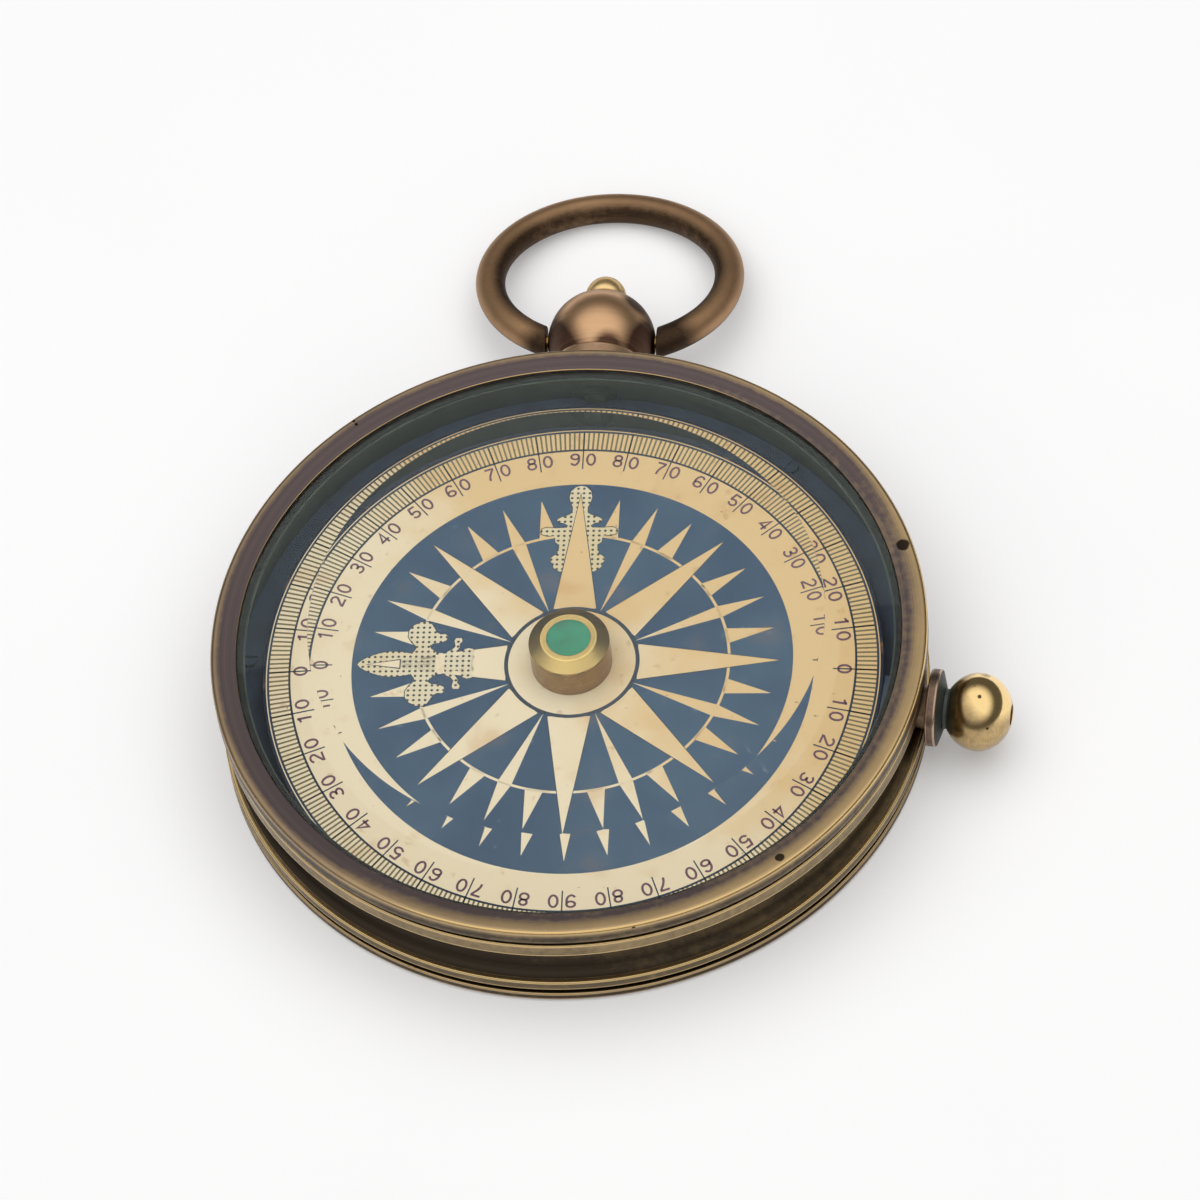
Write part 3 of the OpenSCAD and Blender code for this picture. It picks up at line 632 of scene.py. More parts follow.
def stroke(points: Sequence[Point], width: float) -> list[Point]:
    """Thickens a line into the outline of a stroke: its left edge, then its right edge back."""
    line = [Vector(p) for p in points]
    left, right = [], []
    for i, p in enumerate(line):
        before = (p - line[i - 1]).normalized() if i else None
        after = (line[i + 1] - p).normalized() if i + 1 < len(line) else None
        one, two = before or after, after or before
        way = (one + two).normalized()
        # Keeps the stroke's width at a bend, up to a sharp corner
        grow = min(1 / max(way.dot(one), 0.2), 2.0)
        side = Vector((-way.y, way.x)) * (width / 2 * grow)
        left.append(tuple(p + side))
        right.append(tuple(p - side))
    return [*left, *reversed(right)]


def joined(name: str, meshes: Sequence[Mesh]) -> Mesh:
    """Joins meshes that share one finish into one mesh, and removes them."""
    shape = bmesh.new()
    for mesh in meshes:
        shape.from_mesh(mesh)
        bpy.data.meshes.remove(mesh)
    mesh = bpy.data.meshes.new(name)
    shape.to_mesh(mesh)
    shape.free()
    return mesh


class GrownTree:
    """A Geometry Nodes tree with named inputs that ends in realised, finished geometry."""

    def __init__(self, name: str, inputs: dict[str, str]) -> None:
        """Makes the tree and its group input.

        Args:
            name: name of the tree.
            inputs: input name to socket type.
        """
        self.tree = bpy.data.node_groups.new(name, "GeometryNodeTree")
        for label, kind in inputs.items():
            self.tree.interface.new_socket(label, in_out="INPUT", socket_type=kind)
        shape = "NodeSocketGeometry"
        self.tree.interface.new_socket("Geometry", in_out="OUTPUT", socket_type=shape)
        self.given = add_node(self.tree, "NodeGroupInput").outputs

    def close(self, geometry: Node, finish: Socket) -> None:
        """Ends the tree in Realize Instances and Set Material."""
        node = partial(add_node, self.tree)
        real = node("GeometryNodeRealizeInstances", geometry)
        done = node("GeometryNodeSetMaterial", links={"Geometry": real, "Material": finish})
        node("NodeGroupOutput", done)

    def grow(self, name: str, values: dict[str, object]) -> Mesh:
        """Runs the tree with its inputs and keeps the result as a plain mesh.

        Args:
            name: name of the mesh.
            values: input name to value.

        Returns:
            The plain mesh.
        """
        seed = bpy.data.objects.new(name + "_seed", bpy.data.meshes.new(name + "_seed"))
        bpy.context.scene.collection.objects.link(seed)
        modifier = seed.modifiers.new("grow", "NODES")
        modifier.node_group = self.tree
        for item in self.tree.interface.items_tree:
            if item.item_type == "SOCKET" and item.in_out == "INPUT" and item.name in values:
                modifier[item.identifier] = values[item.name]
        seed.update_tag()
        graph = bpy.context.evaluated_depsgraph_get()
        graph.update()
        mesh = bpy.data.meshes.new_from_object(seed.evaluated_get(graph), depsgraph=graph)
        seed.modifiers.clear()
        bpy.data.objects.remove(seed)
        mesh.name = name
        return mesh


STATIONS = ("Inner", "Middle", "Outer")


def ray_tree() -> GrownTree:
    """Builds the tree that repeats a flat tapered ray round the card.

    Returns:
        The tree. A ray has three stations, each with a radius and a width, so it can be
        a bar, a triangle or a kite.
    """
    length, whole = "NodeSocketFloat", "NodeSocketInt"
    inputs = {"Count": whole, "Start": length, "Bottom": length, "Thickness": length}
    inputs |= {f"{s} {what}": length for what in ("Radius", "Width") for s in STATIONS}
    grown = GrownTree("card_rays", inputs | {"Ink": "NodeSocketMaterial"})
    node, given = partial(add_node, grown.tree), grown.given
    grid = node("GeometryNodeMeshGrid", 1.0, 1.0, 3, 2)
    index = node("GeometryNodeInputIndex")
    station = node(MATH, node(MATH, index, 2.0, operation="DIVIDE"), operation="FLOOR")
    picks = []
    for what in ("Radius", "Width"):
        pick = node("GeometryNodeIndexSwitch", data_type="FLOAT")
        pick.index_switch_items.new()
        grown.tree.links.new(station.outputs[0], pick.inputs["Index"])
        for k, s in enumerate(STATIONS):
            grown.tree.links.new(given[f"{s} {what}"], pick.inputs[k + 1])
        picks.append(pick)
    side = node("ShaderNodeSeparateXYZ", node("GeometryNodeInputPosition")).outputs[1]
    across = node(MATH, side, picks[1], operation="MULTIPLY")
    spot = node("ShaderNodeCombineXYZ", picks[0], across, given["Bottom"])
    flat = node("GeometryNodeSetPosition", grid, links={"Position": spot})
    up = node("ShaderNodeCombineXYZ", 0.0, 0.0, given["Thickness"])
    links = {"Mesh": flat, "Offset": up, "Offset Scale": 1.0, "Individual": False}
    raised = node("GeometryNodeExtrudeMesh", links=links)
    both = node("GeometryNodeJoinGeometry", raised)
    grown.tree.links.new(node("GeometryNodeFlipFaces", flat).outputs[0], both.inputs[0])
    closed = node("GeometryNodeMergeByDistance", both, links={"Distance": 0.001 * MM})
    points = node("GeometryNodePoints", given["Count"])
    step = node(MATH, 2 * math.pi, given["Count"], operation="DIVIDE")
    angle = node(MATH, index, step, given["Start"], operation="MULTIPLY_ADD")
    spin = node("ShaderNodeCombineXYZ", 0.0, 0.0, angle)
    links = {"Points": points, "Instance": closed, "Rotation": spin}
    grown.close(node("GeometryNodeInstanceOnPoints", links=links), given["Ink"])
    return grown


def wire_tree() -> GrownTree:
    """Builds the tree that draws the bow's round wire along its oval.

    Returns:
        The tree. The wire's two ends are cut square to the hinge line.
    """
    length = "NodeSocketFloat"
    labels = ("Half Width", "Half Length", "End Rise", "Wire Radius", "End X", "Droop")
    labels += ("Hinge Y", "Hinge Z")
    grown = GrownTree("bow_wire", {k: length for k in labels} | {"Finish": "NodeSocketMaterial"})
    node, given = partial(add_node, grown.tree), grown.given
    end = node(MATH, given["End X"], given["Half Width"], operation="DIVIDE")
    fall = node(MATH, node(MATH, end, operation="ARCSINE"), operation="COSINE")
    reach = node(MATH, fall, given["Half Length"], given["End Rise"], operation="MULTIPLY_ADD")
    # The wire is drawn a little past its ends and then cut back to them
    start = node(MATH, node(MATH, end, 0.8, operation="MULTIPLY"), operation="ARCSINE")
    sweep = node(MATH, start, -2.0, 2 * math.pi, operation="MULTIPLY_ADD")
    links = {"Resolution": 200, "Radius": 1.0, "Sweep Angle": sweep}
    links["Start Angle"] = node(MATH, start, -math.pi / 2)
    path = node("GeometryNodeCurveArc", links=links, mode="RADIUS")
    place = node("ShaderNodeSeparateXYZ", node("GeometryNodeInputPosition")).outputs
    oval = node(
        "ShaderNodeCombineXYZ",
        node(MATH, place[0], given["Half Width"], operation="MULTIPLY"),
        node(MATH, place[1], given["Half Length"], reach, operation="MULTIPLY_ADD"),
    )
    route = node("GeometryNodeSetPosition", path, links={"Position": oval})
    links = {"Resolution": 32, "Radius": given["Wire Radius"]}
    ring = node("GeometryNodeCurvePrimitiveCircle", links=links)
    links = {"Curve": route, "Profile Curve": ring, "Fill Caps": True}
    wire = node("GeometryNodeCurveToMesh", links=links)
    low = node(MATH, place[1], reach, operation="LESS_THAN")
    far = node(MATH, place[0], operation="ABSOLUTE")
    past = node(MATH, far, given["End X"], operation="LESS_THAN")
    side = node(MATH, node(MATH, place[0], operation="SIGN"), given["End X"], operation="MULTIPLY")
    cut = node("ShaderNodeCombineXYZ", side, place[1], place[2])
    ends = node(MATH, low, past, operation="MULTIPLY")
    square = node("GeometryNodeSetPosition", wire, links={"Selection": ends, "Position": cut})
    hinge = node("ShaderNodeCombineXYZ", 0.0, given["Hinge Y"], given["Hinge Z"])
    tilt = node("ShaderNodeCombineXYZ", node(MATH, given["Droop"], -1.0, operation="MULTIPLY"))
    hung = node("GeometryNodeTransform", square, links={"Translation": hinge, "Rotation": tilt})
    grown.close(hung, given["Finish"])
    return grown


def along_y(y: float, z: float) -> Matrix:
    """Returns the matrix that lays a turned piece along +Y from (0, y, z), in mm."""
    return Matrix.Translation((0, y, z)) @ Matrix.Rotation(math.radians(-90), 4, "X")


# ---------------------------------------------------------------- sub-assemblies


@dataclass
class Case:
    """Spool-shaped case: back cover, body with two flanges, bezel ring and crystal."""

    bezel_r: float = 37.5
    flange_r: float = 37.3
    seat_r: float = 36.4
    clamp_r: float = 36.15
    neck_r: Point = (35.5, 36.1)
    glass_r: float = 35.4
    opening_r: float = 34.8
    inner_r: float = 33.6
    ledge_r: float = 31.0
    cover_h: float = 1.35
    cover_wall: float = 0.85
    cover_floor: float = 0.8
    seat_z: float = 0.85
    floor_z: float = 1.6
    lower_flange: Point = (2.1, 3.4)
    upper_flange: Point = (8.35, 10.2)
    waist_d: float = 2.1
    waist_lip: float = 0.2
    shelf_z: float = 10.9
    neck_z: float = 11.9
    bezel_z: Point = (10.95, 12.9)
    bezel_dish: float = 0.25
    lip_z: float = 11.95
    glass_z: float = 11.2
    bevel_z: float = 12.4
    glass_top: float = 15.45
    glass_top_r: float = 27.0
    glass_gap: float = 0.05
    handled_mm: float = 30.0

    def back_cover(self, finishes: Finishes) -> None:
        """Turns the dish that closes the case from below."""
        r, wall = self.flange_r, self.flange_r - self.cover_wall
        corners = [
            (0, 0), (r - 0.35, 0, 0.15, 0.5), (r, 0.4, 0.25, 0.6),
            (r, self.cover_h, 0.18, 0.75), (wall, self.cover_h, 0.05), (wall, self.cover_floor),
            (0, self.cover_floor),
        ]
        mesh = turned_mesh("back_cover_turned", soften(corners, 0.15))
        settle(show(mesh, finishes["cover"]), Body.CASE, "back_cover")

    def body_side(self, r: float, z: float) -> int:
        """Returns the finish of a face of the body: 0 outside, 1 lining, 2 groove and neck, which
        carry painted shade.
        """
        lip = z > self.upper_flange[1] and r < self.neck_r[1] - 0.1
        if z > self.floor_z - 0.1 and (r < self.opening_r + 0.2 or lip):
            return 1
        return 2 if r < self.flange_r - 0.5 else 0

    def body(self, finishes: Finishes) -> None:
        """Turns the case wall with its flanges, hollow waist, necks and ledges."""
        r, (low, brim), (foot, high) = self.flange_r, self.lower_flange, self.upper_flange
        deep, half = self.waist_d - self.waist_lip, (foot - brim) / 2
        waist = arc(r - self.waist_lip, (brim + foot) / 2, -deep, half, -90, 90, 32)
        corners = [
            (self.ledge_r, self.seat_z), (self.seat_r, self.seat_z), (self.seat_r, low),
            (r, low, 0.18, 1.0), (r, brim, 0.22, 1.25),
            *waist[1:-1],
            (r, foot, 0.2, 1.3), (r, high, 0.18, 1.0), (self.neck_r[1], high),
            (self.neck_r[1], self.neck_z), (self.neck_r[0], self.neck_z),
            (self.neck_r[0], self.shelf_z), (self.inner_r, self.shelf_z),
            (self.inner_r, self.floor_z), (self.ledge_r, self.floor_z),
        ]
        section = soften(corners, 0.12)
        mesh = turned_mesh("case_turned", section, 320, paint=self.body_side, sharp_deg=40)
        piece = show(mesh, finishes["case"], finishes["lining"], finishes["waist"])
        settle(piece, Body.CASE, "case_body")

    def bezel_side(self, r: float, z: float) -> int:
        """Returns the finish of a face of the bezel: 1 down its side, 0 elsewhere."""
        return int(r > self.bezel_r - 0.1 and z < self.bezel_z[1] - 0.6)

    def handled(self, place: Vector) -> float:
        """Returns the share of wear and painted light on the bezel's top: most outside, at the front
        right.
        """
        share = max(0.0, min(1.0, (0.8 * place.x - place.y) / self.handled_mm))
        return share if place.xy.length > self.opening_r + 1.2 else 0.0

    def bezel(self, finishes: Finishes) -> None:
        """Turns the ring that clamps the crystal, dished and worn at its outer edge, with a painted
        highlight along that edge at the front and the right.
        """
        r, bore, (low, top) = self.bezel_r, self.opening_r, self.bezel_z
        corners = [
            (self.clamp_r, low), (r, low, 0.2, 0.15), (r, top, 0.45, 0.45),
            (bore, top - self.bezel_dish, 0.1, 0.1), (bore, self.lip_z),
            (self.clamp_r, self.lip_z),
        ]
        mesh = turned_mesh("bezel_turned", soften(corners, 0.7, 8), 360, paint=self.bezel_side)
        # Painted highlight: the outer rounding is bared to gold where it faces the front and where
        # it faces the right
        rub(mesh, (0.1, -0.75, 0.8), (0.86, 0.99), 1.4)
        rub(mesh, (0.75, -0.25, 0.78), (0.84, 0.97), 1.7)
        # Wear and painted light: the top is bared most near its outer edge and towards the front
        # right
        rub(mesh, UP, (0.5, 0.9), 0.4, self.handled)
        piece = show(mesh, finishes["bezel"], finishes["cover"])
        settle(piece, Body.CASE, "bezel_ring")

    def crystal(self, finishes: Finishes) -> None:
        """Turns the thick crystal with its wide bevel."""
        rim, wall = self.lip_z - 0.02, self.opening_r - self.glass_gap
        corners = [
            (0, self.glass_z), (self.glass_r, self.glass_z), (self.glass_r, rim), (wall, rim),
            (wall, self.bevel_z, 0.08), (self.glass_top_r, self.glass_top, 0.25),
            (0, self.glass_top),
        ]
        mesh = turned_mesh("crystal_cut", soften(corners, 0.0, 4), 360, sharp_deg=12)
        piece = show(mesh, finishes["crystal"])
        # Light reaches the card as if the crystal weren't there; the eye still sees through it
        piece.visible_shadow = piece.visible_diffuse = False
        settle(piece, Body.CASE, "crystal")

    def build(self, finishes: Finishes) -> None:
        """Builds the case from its back to its crystal."""
        for make in (self.back_cover, self.body, self.bezel, self.crystal):
            make(finishes)


# Half outlines of the card's ornaments, from the outer tip to the foot: radius and distance
# from the middle line, in mm
PETALS = (
    (22.6, 0), (22.35, 0.35), (21.8, 0.75), (21.1, 1.1), (20.2, 1.45), (19.3, 1.6),
    (18.4, 1.6), (17.5, 1.45), (16.9, 1.3), (16.75, 1.5), (16.5, 1.9), (16.55, 2.3),
    (17.0, 2.8), (17.4, 3.5), (17.35, 4.3), (16.9, 4.95), (16.2, 5.35), (15.5, 5.4),
    (15.0, 5.1), (14.7, 4.55), (14.4, 4.0), (14.0, 3.75), (13.5, 3.8), (13.2, 3.5),
    (13.35, 3.0), (13.9, 2.7), (14.7, 2.6), (15.1, 2.3), (14.9, 1.9), (14.45, 1.6),
    (14.35, 1.5), (14.35, 0),
)
BAND = ((14.1, 0), (14.1, 1.35), (13.65, 1.35), (13.65, 0))
TAIL = (
    (13.4, 0), (13.4, 0.9), (13.2, 1.5), (12.7, 1.75), (12.35, 2.2), (12.5, 2.9),
    (12.35, 3.25), (11.75, 3.25), (11.65, 2.85), (11.95, 2.5), (11.9, 2.1), (12.2, 1.6),
    (12.6, 1.05), (12.1, 0.95), (11.7, 1.3), (11.45, 1.75), (11.0, 1.95), (10.5, 1.85),
    (10.35, 1.5), (10.55, 1.2), (10.3, 0.9), (10.3, 0.5), (10.5, 0.3), (10.4, 0),
)
BLANK = ((21.5, 0), (18.15, 0.5), (18.15, 0))
RIM = ((21.75, 0), (18.03, 0.66), (18.03, 0))
CROSS = (
    (23.0, 0), (22.85, 0.55), (22.3, 1.05), (21.5, 1.2), (20.8, 1.05), (20.2, 0.8),
    (19.6, 0.8), (19.25, 1.05), (19.0, 1.6), (18.8, 2.15), (18.5, 2.4), (18.2, 2.2),
    (18.1, 1.6), (17.75, 1.2), (17.5, 1.35), (17.45, 2.5), (17.55, 3.5), (17.35, 3.95),
    (17.0, 4.05), (16.65, 3.95), (16.45, 3.4), (16.45, 2.65), (16.1, 2.5), (15.6, 2.45),
    (15.3, 2.1), (14.9, 2.0), (14.5, 2.2), (14.1, 2.15), (13.8, 2.6), (13.4, 2.95),
    (13.0, 2.8), (12.75, 2.45), (12.4, 2.6), (12.05, 2.3), (11.75, 1.8), (11.9, 1.2),
    (12.2, 0),
)


@dataclass
class CompassCard:
    """Floating card: compass rose, degree scale, numbers, two ornaments and its cap."""

    top_z: float = 5.85
    turn_deg: float = 1.5
    field_r: float = 23.2
    hub_r: float = 7.0
    hub_bore: float = 2.65
    point_r: float = 14.0
    point_w: Point = (4.5, 2.38)
    tip_r: float = 21.75
    ring_r: float = 16.5
    kite_w: float = 1.5
    dart_r: float = 18.5
    dart_w: Point = (1.95, 1.15)
    tens_in: float = 25.25
    tens_w: float = 0.14
    scale_in: float = 27.75
    scale_out: float = 30.25
    tick_w: float = 0.2
    number_r: float = 26.5
    number_h: float = 1.65
    number_w: float = 0.84
    number_gap: float = 0.86
    stroke_w: float = 0.24
    edge_w: float = 0.1
    ink_t: float = 0.008
    cap_r: float = 4.25
    cap_h: float = 4.5
    cap_top_r: float = 2.95
    skirt_r: Point = (1.75, 2.6)
    skirt_z: float = 4.65
    socket_r: float = 1.38
    socket_z: Point = (7.25, 8.85)
    inlay_r: float = 2.3
    inlay_d: float = 0.4

    def layer(self, level: int) -> Point:
        """Returns the underside and top of a layer of print, in mm."""
        low = self.top_z + 0.001 + level * self.ink_t
        return low, low + self.ink_t - 0.001

    def bearing(self, degrees: float) -> float:
        """Returns the frame angle of a compass bearing, in radians."""
        return math.radians(180 + self.turn_deg - degrees)

    def disc(self, name: str, inner: float, outer: float, level: int) -> Mesh:
        """Makes a flat printed ring or disc."""
        low, high = self.layer(level)
        corners = [(inner, low), (outer, low), (outer, high), (inner, high)]
        return turned_mesh(name, corners, 240)

    def rays(
        self,
        tree: GrownTree,
        name: str,
        ink: Material,
        count: int,
        start_deg: float,
        stations: Sequence[Point],
        level: int,
    ) -> Mesh:
        """Prints rays round the card.

        Args:
            tree: the ray tree.
            name: name of the mesh.
            ink: its finish.
            count: rays in the full circle.
            start_deg: bearing of the first ray.
            stations: radius and width at three places along a ray, in mm.
            level: layer of print.

        Returns:
            The mesh.
        """
        low, high = self.layer(level)
        values = {"Count": count, "Start": self.bearing(start_deg), "Ink": ink}
        values |= {"Bottom": low * MM, "Thickness": (high - low) * MM}
        for label, (radius, width) in zip(STATIONS, stations):
            values |= {f"{label} Radius": radius * MM, f"{label} Width": width * MM}
        return tree.grow(name, values)

    def shapes(self) -> dict[str, list[list[Point]]]:
        """Draws the ten figures.

        Returns:
            Figure to its strokes, each a line of points about the figure's middle, in mm.
        """
        w, h = self.number_w / 2, (self.number_h - self.stroke_w) / 2
        bowl = 0.54 * h
        loop = 0.88 * bowl
        three = [*arc(0, h - 0.36, w - 0.05, 0.36, 160, -90)]
        three += arc(0, bowl - h - 0.03, w, bowl - 0.03, 90, -160)
        five = [(w - 0.03, h), (-w + 0.12, h), (-w + 0.02, 0.0)]
        six = [arc(0, loop - h, w, loop, 90, 450, 20), arc(0.04, 0, w + 0.04, h, 40, 205)]
        upper = arc(0, h - 0.34, w - 0.06, 0.34, 90, 450, 20)
        nine = [arc(0, h - loop, w, loop, 90, 450, 20), arc(-0.04, 0, w + 0.04, h, 220, 385)]
        return {
            "0": [arc(0, 0, w, h, 90, 450, 24)],
            "1": [[(0.12, h + 0.1), (0.12, -h - 0.1)], [(-0.3, 0.42), (-0.05, 0.5), (0.08, h)]],
            "2": [[*arc(0, h - bowl, w, bowl, 165, -35), (-w, 0.14 - h), (-w, -h), (w + 0.05, -h)]],
            "3": [three],
            "4": [[(w + 0.08, -0.36), (-w - 0.02, -0.36), (0.2, h), (0.2, -h - 0.1)]],
            "5": [[*five, *arc(0, bowl - h, w, bowl, 140, -160)]],
            "6": six,
            "7": [[(-w, h), (w, h), (w, h - 0.12), (0.06, 0.0), (-0.1, -0.4), (-0.14, -h - 0.1)]],
            "8": [upper, arc(0, 0.39 - h, w, 0.39, 90, 450, 20)],
            "9": nine,
        }

    def numbers(self) -> Mesh:
        """Prints each ten degrees, a quarter at a time, with a gap between the figures."""
        shapes = self.shapes()
        outlines = []
        for degrees in range(0, 360, 10):
            value = degrees % 180
            label = str(value if value <= 90 else 180 - value)
            turn = Matrix.Rotation(self.bearing(degrees) - math.pi / 2, 2)
            for k, figure in enumerate(label):
                slide = (k - (len(label) - 1) / 2) * 2 * self.number_gap
                for line in shapes[figure]:
                    ring = stroke(line, self.stroke_w)
                    spots = [turn @ Vector((x + slide, y + self.number_r)) for x, y in ring]
                    outlines.append([tuple(spot) for spot in spots])
        return slab_mesh("card_numbers", outlines, *self.layer(0), strip=True)

    def figure(
        self, name: str, bearing_deg: float, half: Sequence[Point], level: int, edge: float = 0.0
    ) -> Mesh:
        """Prints a figure that is alike on both sides of a bearing line.

        Args:
            name: name of the mesh.
            bearing_deg: bearing of its middle line.
            half: radius and distance from the line, from the outer tip to the foot.
            level: layer of print.
            edge: how much wider than the points the figure is all round, in mm.

        Returns:
            The mesh.
        """
        loop = [Vector(p) for p in half] + [Vector((r, -t)) for r, t in reversed(half) if t > TINY]
        turning = sum(a.x * b.y - b.x * a.y for a, b in zip(loop, loop[1:] + loop[:1]))
        side = math.copysign(edge, turning)
        angle = self.bearing(bearing_deg)
        along = Vector((math.cos(angle), math.sin(angle)))
        across = Vector((-along.y, along.x))
        outline = []
        for before, p, after in zip(loop[-1:] + loop[:-1], loop, loop[1:] + loop[:1]):
            way = ((p - before).normalized() + (after - p).normalized()).normalized()
            spot = p + Vector((way.y, -way.x)) * side
            outline.append(tuple(along * spot.x + across * spot.y))
        return slab_mesh(name, [outline], *self.layer(level))

    def ornaments(self, dotted: Material, paper: Material, ink: Material) -> list[Piece]:
        """Prints the lily over the north point and the leafed cross under the east point.

        Args:
            dotted: dotted ground.
            paper: plain ground.
            ink: outline ink.

        Returns:
            The pieces.
        """
        lily = [self.figure("petals", 0, PETALS, 4), self.figure("tail", 0, TAIL, 4)]
        plain = [self.figure("band", 0, BAND, 4), self.figure("blank", 0, BLANK, 6)]
        lines = [
            self.figure("rim", 0, RIM, 5),
            self.figure("band", 0, BAND, 3, 0.14),
            self.figure("tail", 0, TAIL, 3, self.edge_w),
            self.figure("petals", 0, PETALS, 3, self.edge_w),
            self.figure("cross", 90, CROSS, 1, self.edge_w),
        ]
        return [
            show(joined("card_lily", lily), dotted),
            show(joined("card_lily_plain", plain), paper),
            show(self.figure("card_cross", 90, CROSS, 2), dotted),
            show(joined("card_ornament_lines", lines), ink),
        ]

    def rose(self, finishes: Finishes) -> list[Piece]:
        """Prints the blue field, the star, the lines and the degree scale.

        Args:
            finishes: finish name to material.

        Returns:
            The pieces.
        """
        tree = ray_tree()
        cream, dark, tick = finishes["paper"], finishes["line"], finishes["tick"]
        hub, tip, ring, rim = self.hub_r, self.tip_r, self.ring_r, 2 * self.edge_w
        base, middle = self.point_w
        root = hub - 0.1
        point = ((root, base), (self.point_r, middle), (tip, 0.0))
        edged = ((root, base + rim), (self.point_r, middle + rim), (tip + 0.35, 0.0))
        kite = ((hub, 0.0), (ring, self.kite_w), (tip - 0.2, 0.0))
        dart = ((ring - 0.1, self.dart_w[0]), (self.dart_r, self.dart_w[1]), (tip - 0.3, 0.0))
        inner, outer = self.scale_in, self.scale_out
        mid, out = (inner + outer) / 2, outer - 0.15
        tens = [(r, self.tens_w) for r in (self.tens_in, mid, out)]
        bar = [(r, self.tick_w) for r in (inner, mid, out)]
        star = [
            self.rays(tree, "kites", cream, 8, 22.5, kite, 1),
            self.rays(tree, "darts", cream, 16, 11.25, dart, 1),
            self.disc("ring", ring - 0.15, ring + 0.15, 1),
            self.rays(tree, "points", cream, 8, 0, point, 4),
            self.disc("hub", self.hub_bore, hub - 0.3, 5),
        ]
        lines = [
            self.rays(tree, "point_edges", dark, 8, 0, edged, 3),
            self.rays(tree, "tens", dark, 36, 0, tens, 0),
            self.disc("inner_line", inner - 0.12, inner + 0.12, 0),
            self.disc("outer_line", outer - 0.2, outer + 0.05, 0),
            self.disc("hub_line", hub - 0.3, hub + 0.12, 6),
        ]
        return [
            show(self.disc("card_field", hub - 0.2, self.field_r, 0), finishes["blue"]),
            show(joined("card_star", star), cream),
            show(joined("card_lines", lines), dark),
            show(self.rays(tree, "card_degrees", tick, 360, 0, bar, 0), tick),
        ]

    def cap(self, finishes: Finishes) -> None:
        """Turns the cap that stands on the card, with the seat of its inlay."""
        top, seat, (bore, skirt) = self.top_z + self.cap_h, self.inlay_r + 0.02, self.skirt_r
        corners = [
            (bore, self.skirt_z), (skirt, self.skirt_z), (skirt, self.top_z),
            (self.cap_r, self.top_z + 0.02, 0.1), (self.cap_r, top - 0.75, 0.1, 0.6),
            (self.cap_top_r, top, 0.08, 0.8), (seat, top, 0.05, 0.5),
            (seat, top - self.inlay_d), (0, top - self.inlay_d), (0, self.socket_z[1]),
            (self.socket_r, self.socket_z[1]), (self.socket_r, self.socket_z[0]),
            (bore, self.socket_z[0]),
        ]
        mesh = turned_mesh("cap_turned", soften(corners, 0.1), 128)
        rub(mesh, UP, (0.4, 0.85), 0.35)
        settle(show(mesh, finishes["cap"]), Body.CARD, "cap_body")

    def inlay(self, finishes: Finishes) -> None:
        """Casts the coloured inlay, a little hollow in the middle."""
        r, top = self.inlay_r, self.top_z + self.cap_h
        foot = top - self.inlay_d
        dish = [(r * k / 8, top - 0.1 + 0.07 * (k / 8) ** 4) for k in range(8, -1, -1)]
        mesh = turned_mesh("inlay_cast", [(0, foot), (r, foot), *dish], 96)
        settle(show(mesh, finishes["inlay"]), Body.CARD, "cap_inlay")

    def build(self, finishes: Finishes) -> None:
        """Prints the card, turns its cap and puts all of it on the card's body."""
        prints = [*self.rose(finishes), show(self.numbers(), finishes["number"])]
        prints += self.ornaments(finishes["dotted"], finishes["paper"], finishes["line"])
        for piece in prints:
            settle(piece, Body.CARD)
        self.cap(finishes)
        self.inlay(finishes)


